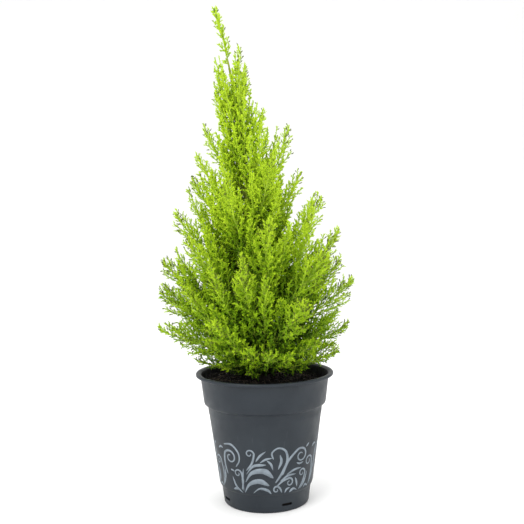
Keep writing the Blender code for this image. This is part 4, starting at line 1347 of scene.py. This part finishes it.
@dataclass
class Foliage:
    """Twigs, shoots and needles that grow on from the limbs, each within its plume's space.

    Shares run from 0 at the foot of a line to 1 at its tip. Angles are in degrees from the parent,
    and the needles' tables run by the millimetres left to the tip of their shoot.
    """

    trunk: Trunk
    plumes: Plumes
    pot: Pot
    seed: int = 7

    # Branches
    branch_habit: Habit = Habit(
        least=4 * MM, slack=1.25, straight=0.55, bent=0.45, follow=0.30, lift=0.18, points=4)
    branch_pitch: float = 0.0029
    branch_thinning: Table = ((0.30, 1.0), (0.46, 1.45))
    branch_start: float = 0.14
    leader_start: float = 0.02
    branch_end: float = 0.985
    branch_angles: Table = ((0.0, 46.0), (0.6, 34.0), (1.0, 20.0))
    branch_lift: Table = ((0.0, 0.28), (1.0, 0.08))
    branch_reach: Span = (0.8, 1.15)
    branch_least: float = 6 * MM
    branch_radius: float = 0.28 * MM
    branch_swell: float = 0.012

    # Shoots
    shoot_habit: Habit = Habit(
        least=1.6 * MM, slack=1.30, straight=0.50, bent=0.50, follow=0.20, lift=0.10, points=2)
    shoot_pitch: float = 0.0022
    shoot_longest: float = 7.5 * MM
    near_pitch: float = 0.0048
    near_longest: float = 7 * MM
    shoot_end: float = 0.97
    shoot_turn: float = 1.7
    shoot_angles: Table = ((0.0, 54.0), (1.0, 38.0))
    shoot_lift: float = 0.08
    shoot_shortening: float = 0.45
    shoot_reach: Span = (0.6, 1.15)
    shoot_radius: float = 0.30 * MM
    shoot_turn_spread: float = 0.2
    turn_spread: float = 0.25
    angle_spread: float = 0.08

    # Needles
    needle_pitch: float = 0.00084
    fewest_needles: int = 3
    needle_length: float = 0.0024
    needle_lengths: Table = ((0.0, 0.85), (1.5, 1.0), (6.0, 0.85))
    needle_spread: Span = (0.75, 1.15)
    needle_angles: Table = ((0.0, 16.0), (1.2, 38.0), (4.0, 48.0))
    needle_angle_spread: float = 0.12
    needle_radius: float = 0.00056
    needle_stoutness: Table = ((0.35, 1.7), (0.85, 1.0))
    tuft: float = 0.82

    # Buds and tints, partly painted light and shade
    bud_share: float = 0.55
    bud_length: float = 0.7
    bud_from: float = 0.84
    light_out: float = 0.62
    light_aside: float = 0.26
    painted_light_by_height: Table = ((0.13, -0.28), (0.17, -0.12), (0.23, 0.02), (0.32, 0.42))
    light_spread: float = 0.10
    tint_steps: tuple[float, ...] = (0.26, 0.42, 0.60, 0.80)

    # Stems
    stem_taper: Table = ((0.0, 1.0), (0.2, 0.70), (1.0, 0.40))
    stem_foot: float = 0.95
    bough_feet: Span = (1.9, 1.0)
    bark_share: float = 0.30
    bark_wobble: Span = (0.86, 1.12)
    bark_sides: int = 8
    green_share: float = 0.94
    green_sides: int = 5

    # Room to grow
    rival_share: float = 0.72
    checked_at: Span = (0.6, 1.0)
    floor: float = 0.1250
    floor_flat: float = 0.024
    floor_rise: float = 0.32
    lip_clearance: float = 0.0035
    lip_band: float = 0.007
    trunk_clearance: float = 0.4 * MM
    triangle_limit: int = 190_000
    shortenings: tuple[float, ...] = (1.0, 0.85, 0.7, 0.55, 0.4, 0.28)

    def __post_init__(self) -> None:
        """Seeds the growth."""
        self.chance = np.random.default_rng(self.seed)

    def open_air(self, points: np.ndarray) -> np.ndarray:
        """Whether points are clear of the trunk, the compost and the pot's lip."""
        height = points[:, 2]
        away = np.linalg.norm(points - self.trunk.middle(height), axis=1)
        off_trunk = (away > self.trunk.radius(height) + self.trunk_clearance) | (height > self.trunk.top)
        from_axis = np.hypot(points[:, 0], points[:, 1])
        lip_middle = (self.pot.collar_top_radius + self.pot.lip_radius) / 2
        over_lip = np.abs(from_axis - lip_middle) < self.lip_band
        lowest = self.floor + self.floor_rise * np.maximum(0.0, from_axis - self.floor_flat)
        lowest = np.where(over_lip, np.maximum(lowest, self.pot.height + self.lip_clearance), lowest)
        return off_trunk & self.plumes.within(points) & (height > lowest)

    def fitted(self, roots: np.ndarray, ways: np.ndarray, reach: np.ndarray, own: np.ndarray,
               habit: Habit) -> np.ndarray:
        """The greatest of a few lengths at which each shoot keeps to its plume's space.

        Args:
            roots: where the shoots start.
            ways: their directions.
            reach: their full lengths.
            own: their plumes.
            habit: the least length and the slack.

        Returns:
            The lengths, 0 for a shoot that doesn't fit.
        """
        lengths = np.zeros(len(roots))
        for shorter in self.shortenings:
            todo = np.flatnonzero(lengths == 0)
            size = reach[todo] * shorter
            fits = size > habit.least
            for part in self.checked_at:
                points = roots[todo] + ways[todo] * (size * part)[:, None]
                mine, others = self.plumes.crowding(points, own[todo])
                in_own_space = (mine < habit.slack) & (mine * self.rival_share < others)
                fits &= in_own_space & self.open_air(points)
            lengths[todo[fits]] = size[fits]
        return lengths

    def grown(self, roots: np.ndarray, ways: np.ndarray, heading: np.ndarray, reach: np.ndarray,
              plume: np.ndarray, habit: Habit) -> tuple[np.ndarray, np.ndarray, np.ndarray]:
        """Fits shoots into their plumes' spaces and bends them.

        Args:
            roots: where the shoots start.
            ways: their parents' directions there.
            heading: their own directions.
            reach: their full lengths.
            plume: their plumes.
            habit: how they fit and bend.

        Returns:
            The lines, lengths and plumes of the shoots that fit.
        """
        lengths = self.fitted(roots, heading, reach, plume, habit)
        keep = lengths > 0
        roots, heading, lengths, ways = roots[keep], heading[keep], lengths[keep], ways[keep]
        middles = roots + heading * (lengths * habit.straight)[:, None]
        bend = unit(heading + habit.follow * ways + UP * habit.lift)
        ends = middles + bend * (lengths * habit.bent)[:, None]
        return curved(roots, middles, ends, habit.points), lengths, plume[keep]

    def branches(self) -> Shoots:
        """The side branches of every plume, set round its middle line by the golden angle."""
        lines = self.plumes.lines
        spans = np.linalg.norm(np.diff(lines, axis=1), axis=2).sum(axis=1)
        start = np.full(len(lines), self.branch_start)
        start[self.plumes.count] = self.leader_start
        pitch = self.branch_pitch * from_table(self.branch_thinning, lines[:, -1, 2])
        counts = (spans * (self.branch_end - start) / pitch).astype(int)
        owner, step = numbered(counts)
        share = start[owner] + (self.branch_end - start[owner]) * (step + 0.5) / counts[owner]
        turn = step * GOLDEN_ANGLE + owner + self.chance.normal(0, self.turn_spread, len(step))
        roots, ways = along(lines, owner, share)
        angle = np.radians(from_table(self.branch_angles, share))
        angle += self.chance.normal(0, self.angle_spread, len(step))
        heading = tilted(ways, angle, turn)
        heading = unit(heading + UP * from_table(self.branch_lift, share)[:, None])
        reach = self.plumes.width(owner, share) / np.sin(angle)
        reach = np.maximum(reach * self.chance.uniform(*self.branch_reach, len(step)), self.branch_least)
        lines, lengths, plume = self.grown(roots, ways, heading, reach, owner, self.branch_habit)
        return Shoots(lines, self.branch_radius + self.branch_swell * lengths, plume)

    def shoots(self, parents: Shoots, pitch: float, first: float, longest: float,
               share_of_parent: float) -> Shoots:
        """The short shoots along branches.

        Args:
            parents: the branches.
            pitch: the distance between shoots.
            first: the share of a branch at which they start.
            longest: the length of the longest.
            share_of_parent: the most that one may measure of its branch's length.

        Returns:
            The shoots that fit.
        """
        left = self.shoot_end - first
        counts = np.maximum(1, (parents.lengths * left / pitch).astype(int))
        owner, step = numbered(counts)
        share = first + left * (step + 0.5) / counts[owner]
        roots, ways = along(parents.lines, owner, share)
        turn = step * GOLDEN_ANGLE + owner * self.shoot_turn
        turn = turn + self.chance.normal(0, self.shoot_turn_spread, len(step))
        angle = np.radians(from_table(self.shoot_angles, share))
        angle += self.chance.normal(0, self.angle_spread, len(step))
        heading = unit(tilted(ways, angle, turn) + UP * self.shoot_lift)
        reach = longest * (1 - self.shoot_shortening * share)
        reach = reach * self.chance.uniform(*self.shoot_reach, len(step))
        reach = np.minimum(reach, parents.lengths[owner] * share_of_parent)
        lines, _, plume = self.grown(
            roots, ways, heading, reach, parents.plume[owner], self.shoot_habit)
        return Shoots(lines, np.full(len(lines), self.shoot_radius), plume)

    def tints(self, shoots: Shoots, buds: float) -> np.ndarray:
        """Deals each shoot one of the tints, lighter the further out and up it is: partly the paler colour
        of young outer growth, partly painted shade inside and low down and painted light high up.

        Args:
            shoots: what the tints are for.
            buds: the share of the outermost shoots that end in a bud.

        Returns:
            Each shoot's number in the tints.
        """
        ends = shoots.lines[:, -1]
        out = self.plumes.outwardness(ends)
        aside, _ = self.plumes.crowding(ends, shoots.plume)
        # Darker inside: partly the older needles' own deeper green, partly painted shade.
        light = self.light_out * out + self.light_aside * aside
        # Painted shade low in the crown and painted light high up.
        light += from_table(self.painted_light_by_height, ends[:, 2])
        light += self.chance.normal(0, self.light_spread, len(light))
        dealt = np.digitize(light, self.tint_steps)
        # Outermost buds take the olive tint, a painted shade.
        bud = (out > self.bud_from) & (self.chance.random(len(light)) < buds)
        dealt[bud] = BUD_SHADE_TINT
        return dealt

    def needles_on(self, shoots: Shoots, tint: np.ndarray,
                   first: float) -> tuple[np.ndarray, np.ndarray]:
        """Needles all along shoots, as four corners each.

        Args:
            shoots: what they stand on.
            tint: each shoot's tint.
            first: the share of a shoot at which they start.

        Returns:
            The corners, shaped (needles, 4, 3), and each needle's tint.
        """
        bud = tint == BUD_SHADE_TINT
        start = np.where(bud, 1 - self.bud_share, first)
        pitch = self.needle_pitch * np.where(bud, self.bud_share, 1.0)
        counts = np.maximum(self.fewest_needles, (shoots.lengths * (1 - start) / pitch).astype(int))
        owner, step = numbered(counts)
        share = start[owner] + (1 - start[owner]) * ((step + 0.6) / counts[owner]) ** self.tuft
        roots, ways = along(shoots.lines, owner, np.minimum(share, 1.0))
        turn = step * GOLDEN_ANGLE + owner + self.chance.normal(0, self.turn_spread, len(step))
        mm_left = shoots.lengths[owner] * (1 - share) / MM
        angle = np.radians(from_table(self.needle_angles, mm_left))
        angle += self.chance.normal(0, self.needle_angle_spread, len(step))
        heading = tilted(ways, angle, turn)
        length = self.needle_length * from_table(self.needle_lengths, mm_left)
        spread = self.chance.uniform(*self.needle_spread, len(step))
        length *= spread * np.where(bud, self.bud_length, 1.0)[owner]
        out = self.plumes.outwardness(shoots.lines[:, -1])[owner]
        radius = self.needle_radius * from_table(self.needle_stoutness, out)
        one, two = sides_of(heading)
        corners = [roots + heading * length[:, None]]
        for third in range(3):
            bearing = third * math.tau / 3
            side = one * math.cos(bearing) + two * math.sin(bearing)
            corners.append(roots + radius[:, None] * side)
        return np.stack(corners, axis=1), tint[owner]

    def needle_pieces(self, corners: np.ndarray, tint: np.ndarray) -> list[bpy.types.Object]:
        """The needles joined by tint, in pieces of no more triangles than the limit."""
        pieces = []
        faces = np.array([(0, 1, 2), (0, 2, 3), (0, 3, 1), (3, 2, 1)])
        limit = self.triangle_limit // len(faces)
        for number, kind in enumerate(Tint):
            chosen = corners[tint == number]
            finish = kind.material()
            for part, start in enumerate(range(0, len(chosen), limit)):
                group = chosen[start:start + limit]
                sides = faces[None] + (np.arange(len(group)) * 4)[:, None, None]
                name = f"needles_{kind.name.lower()}_{part + 1}"
                piece = mesh_piece(name, group.reshape(-1, 3), sides.reshape(-1, 3))
                piece.data.materials.append(finish)
                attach(piece, "root")
                pieces.append(piece)
        return pieces

    def stem_radii(self) -> np.ndarray:
        """The radius of every plume's stem, point by point, tapering to its tip."""
        lines = self.plumes.lines
        thick = from_table(self.stem_taper, np.linspace(0, 1, lines.shape[1]))
        foot = np.full(len(lines), self.stem_foot)
        foot[:self.plumes.count] = np.linspace(*self.bough_feet, self.plumes.count)
        return foot[:, None] * thick * MM

    def limbs(self) -> bpy.types.Object:
        """The woody feet of the boughs and stems, with their bark's relief."""
        last = round(self.bark_share * (self.plumes.lines.shape[1] - 1)) + 1
        wobble = self.chance.uniform(
            *self.bark_wobble, (len(self.plumes.lines), last, self.bark_sides))
        radii = self.stem_radii()[:, :last, None] * wobble
        made = tubes(self.plumes.lines[:, :last], radii, self.bark_sides)
        piece = mesh_piece("boughs_bark", *made)
        smooth(piece, SOFT_ANGLE)
        piece.data.materials.append(Bark().material())
        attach(piece, "root")
        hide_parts(*[f"bough_{index + 1:02d}" for index in range(self.plumes.boughs)])
        return piece

    def stems(self, finish: bpy.types.Material) -> bpy.types.Object:
        """The green outer parts of the boughs and stems, and the leader's."""
        first = round(self.bark_share * (self.plumes.lines.shape[1] - 1)) - 1
        radii = self.stem_radii()[:, first:] * self.green_share
        made = tubes(self.plumes.lines[:, first::2], radii[:, ::2], self.green_sides)
        piece = mesh_piece("green_stems", *made)
        smooth(piece, SOFT_ANGLE)
        piece.data.materials.append(finish)
        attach(piece, "root")
        return piece

    def twigs(self, name: str, shoots: Shoots, tip_share: float,
              finish: bpy.types.Material) -> bpy.types.Object:
        """One joined piece of three-sided twigs."""
        piece = mesh_piece(name, *shoots.tube_mesh(3, tip_share))
        smooth(piece, SOFT_ANGLE)
        piece.data.materials.append(finish)
        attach(piece, "root")
        return piece

    def build(self) -> list[bpy.types.Object]:
        """Everything that grows on the trunk."""
        lines = self.plumes.lines
        stems = Shoots(lines, np.full(len(lines), MM), np.arange(len(lines)))
        branches = self.branches()
        side_shoots = self.shoots(branches, pitch=self.shoot_pitch, first=0.10,
                                  longest=self.shoot_longest, share_of_parent=0.6)
        near_shoots = self.shoots(stems, pitch=self.near_pitch, first=0.3,
                                  longest=self.near_longest, share_of_parent=0.2)
        young = GreenStem().material()
        pieces = [
            self.limbs(),
            self.stems(young),
            self.twigs("branch_twigs", branches, 0.45, young),
            self.twigs("shoot_twigs", side_shoots, 0.5, young),
            self.twigs("stem_twigs", near_shoots, 0.5, young),
        ]
        masses = [f"foliage_{index + 1:02d}" for index in range(self.plumes.count)]
        corners, tints = [], []
        for shoots, first, buds in (
            (side_shoots, 0.0, 0.5),
            (near_shoots, 0.0, 0.5),
            (branches, 0.25, 0.0),
            (stems, 0.5, 0.0),
        ):
            made, tint = self.needles_on(shoots, self.tints(shoots, buds), first)
            corners.append(made)
            tints.append(tint)
        needles = self.needle_pieces(np.concatenate(corners), np.concatenate(tints))
        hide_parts(*masses, "foliage_leader")
        LOG.info("branches %d, shoots %d and %d, needles %d", len(branches.lines),
                 len(side_shoots.lines), len(near_shoots.lines), sum(map(len, corners)))
        return pieces + needles


# The studio


@dataclass
class Studio:
    """A pale sweep, soft lights and the camera."""

    distance: float = 0.791
    eye_height: float = 0.275
    shift: float = -0.063
    roll: float = math.radians(1.0)
    lens: float = 53.2
    sensor_width: float = 36.0
    floor_size: float = 7.0
    floor_height: float = -0.2 * MM
    wall_height: float = 4.0
    bend: float = 1.6
    bend_segments: int = 16
    paper: Colour = (0.96, 0.96, 0.955)
    aim: Triple = (0.0, 0.0, 0.22)
    lamps: tuple[tuple[str, Triple, float, float], ...] = (
        ("key_light", (-1.1, -1.5, 1.5), 1.4, 30.0),
        ("fill_light", (1.5, -1.2, 0.9), 1.4, 11.0),
        ("top_light", (0.1, 0.3, 2.0), 1.6, 16.0),
    )
    sky: float = 0.89

    def sweep(self) -> bpy.types.Object:
        """A pale floor that curves up into a backdrop."""
        deselect_all()
        bpy.ops.mesh.primitive_plane_add(size=self.floor_size, location=(0, 0, self.floor_height))
        floor = bpy.context.object
        floor.name = "pale_sweep"
        settle(floor)
        bpy.ops.object.mode_set(mode="EDIT")
        bpy.ops.mesh.select_all(action="DESELECT")
        bpy.ops.object.mode_set(mode="OBJECT")
        for edge in floor.data.edges:
            ends = [floor.data.vertices[number].co.y for number in edge.vertices]
            edge.select = min(ends) > self.floor_size / 2 - 0.01
        bpy.ops.object.mode_set(mode="EDIT")
        bpy.ops.mesh.select_mode(type="EDGE")
        bpy.ops.mesh.extrude_region_move(TRANSFORM_OT_translate={"value": (0, 0, self.wall_height)})
        bpy.ops.object.mode_set(mode="OBJECT")
        bevel = floor.modifiers.new("curve", "BEVEL")
        bevel.width = self.bend
        bevel.segments = self.bend_segments
        apply_modifiers(floor)
        smooth(floor, SOFT_ANGLE)
        paper = Recipe("pale_paper", 0.9)
        paper.colour(self.paper)
        floor.data.materials.append(paper.material)
        return floor

    def light(self, name: str, place: Triple, size: float, power: float) -> None:
        """A square soft light aimed at the middle of the plant."""
        deselect_all()
        bpy.ops.object.light_add(type="AREA", location=place)
        lamp = bpy.context.object
        lamp.name = name
        lamp.data.energy = power
        lamp.data.size = size
        aim = Vector(self.aim) - Vector(place)
        lamp.rotation_euler = aim.to_track_quat("-Z", "Y").to_euler()

    def camera(self) -> None:
        """The camera, level at the height of the crown, shifted down and rolled a little."""
        bpy.ops.object.camera_add(location=(0.0, -self.distance, self.eye_height))
        camera = bpy.context.object
        camera.data.lens = self.lens
        camera.data.sensor_width = self.sensor_width
        camera.data.shift_y = self.shift
        level = Matrix.Rotation(math.pi / 2, 4, "X")
        turn = Matrix.Rotation(-self.roll, 4, "Z")
        camera.matrix_world = Matrix.Translation(camera.location) @ level @ turn
        bpy.context.scene.camera = camera

    def build(self) -> None:
        """Sets up the whole studio."""
        self.sweep()
        for lamp in self.lamps:
            self.light(*lamp)
        world = bpy.data.worlds.new("soft_sky")
        world.use_nodes = True
        background = world.node_tree.nodes["Background"]
        background.inputs["Color"].default_value = (1.0, 1.0, 1.0, 1.0)
        background.inputs["Strength"].default_value = self.sky
        bpy.context.scene.world = world
        bpy.context.scene.view_settings.view_transform = "Standard"
        self.camera()


def main() -> None:
    """Builds every piece of the plant, its pot and the studio, and reports them."""
    logging.basicConfig(level=logging.INFO, format="%(name)s: %(message)s")
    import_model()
    pot = Pot()
    trunk = Trunk()
    pieces = [pot.build(), PrintedBand(pot).build(), *Compost(pot).build(), trunk.build()]
    pieces += Foliage(trunk, Plumes(trunk), pot).build()
    Studio().build()
    for piece in pieces:
        piece.data.calc_loop_triangles()
        LOG.info("%s: %d triangles", piece.name, len(piece.data.loop_triangles))
    deselect_all()


if __name__ == "__main__":
    main()
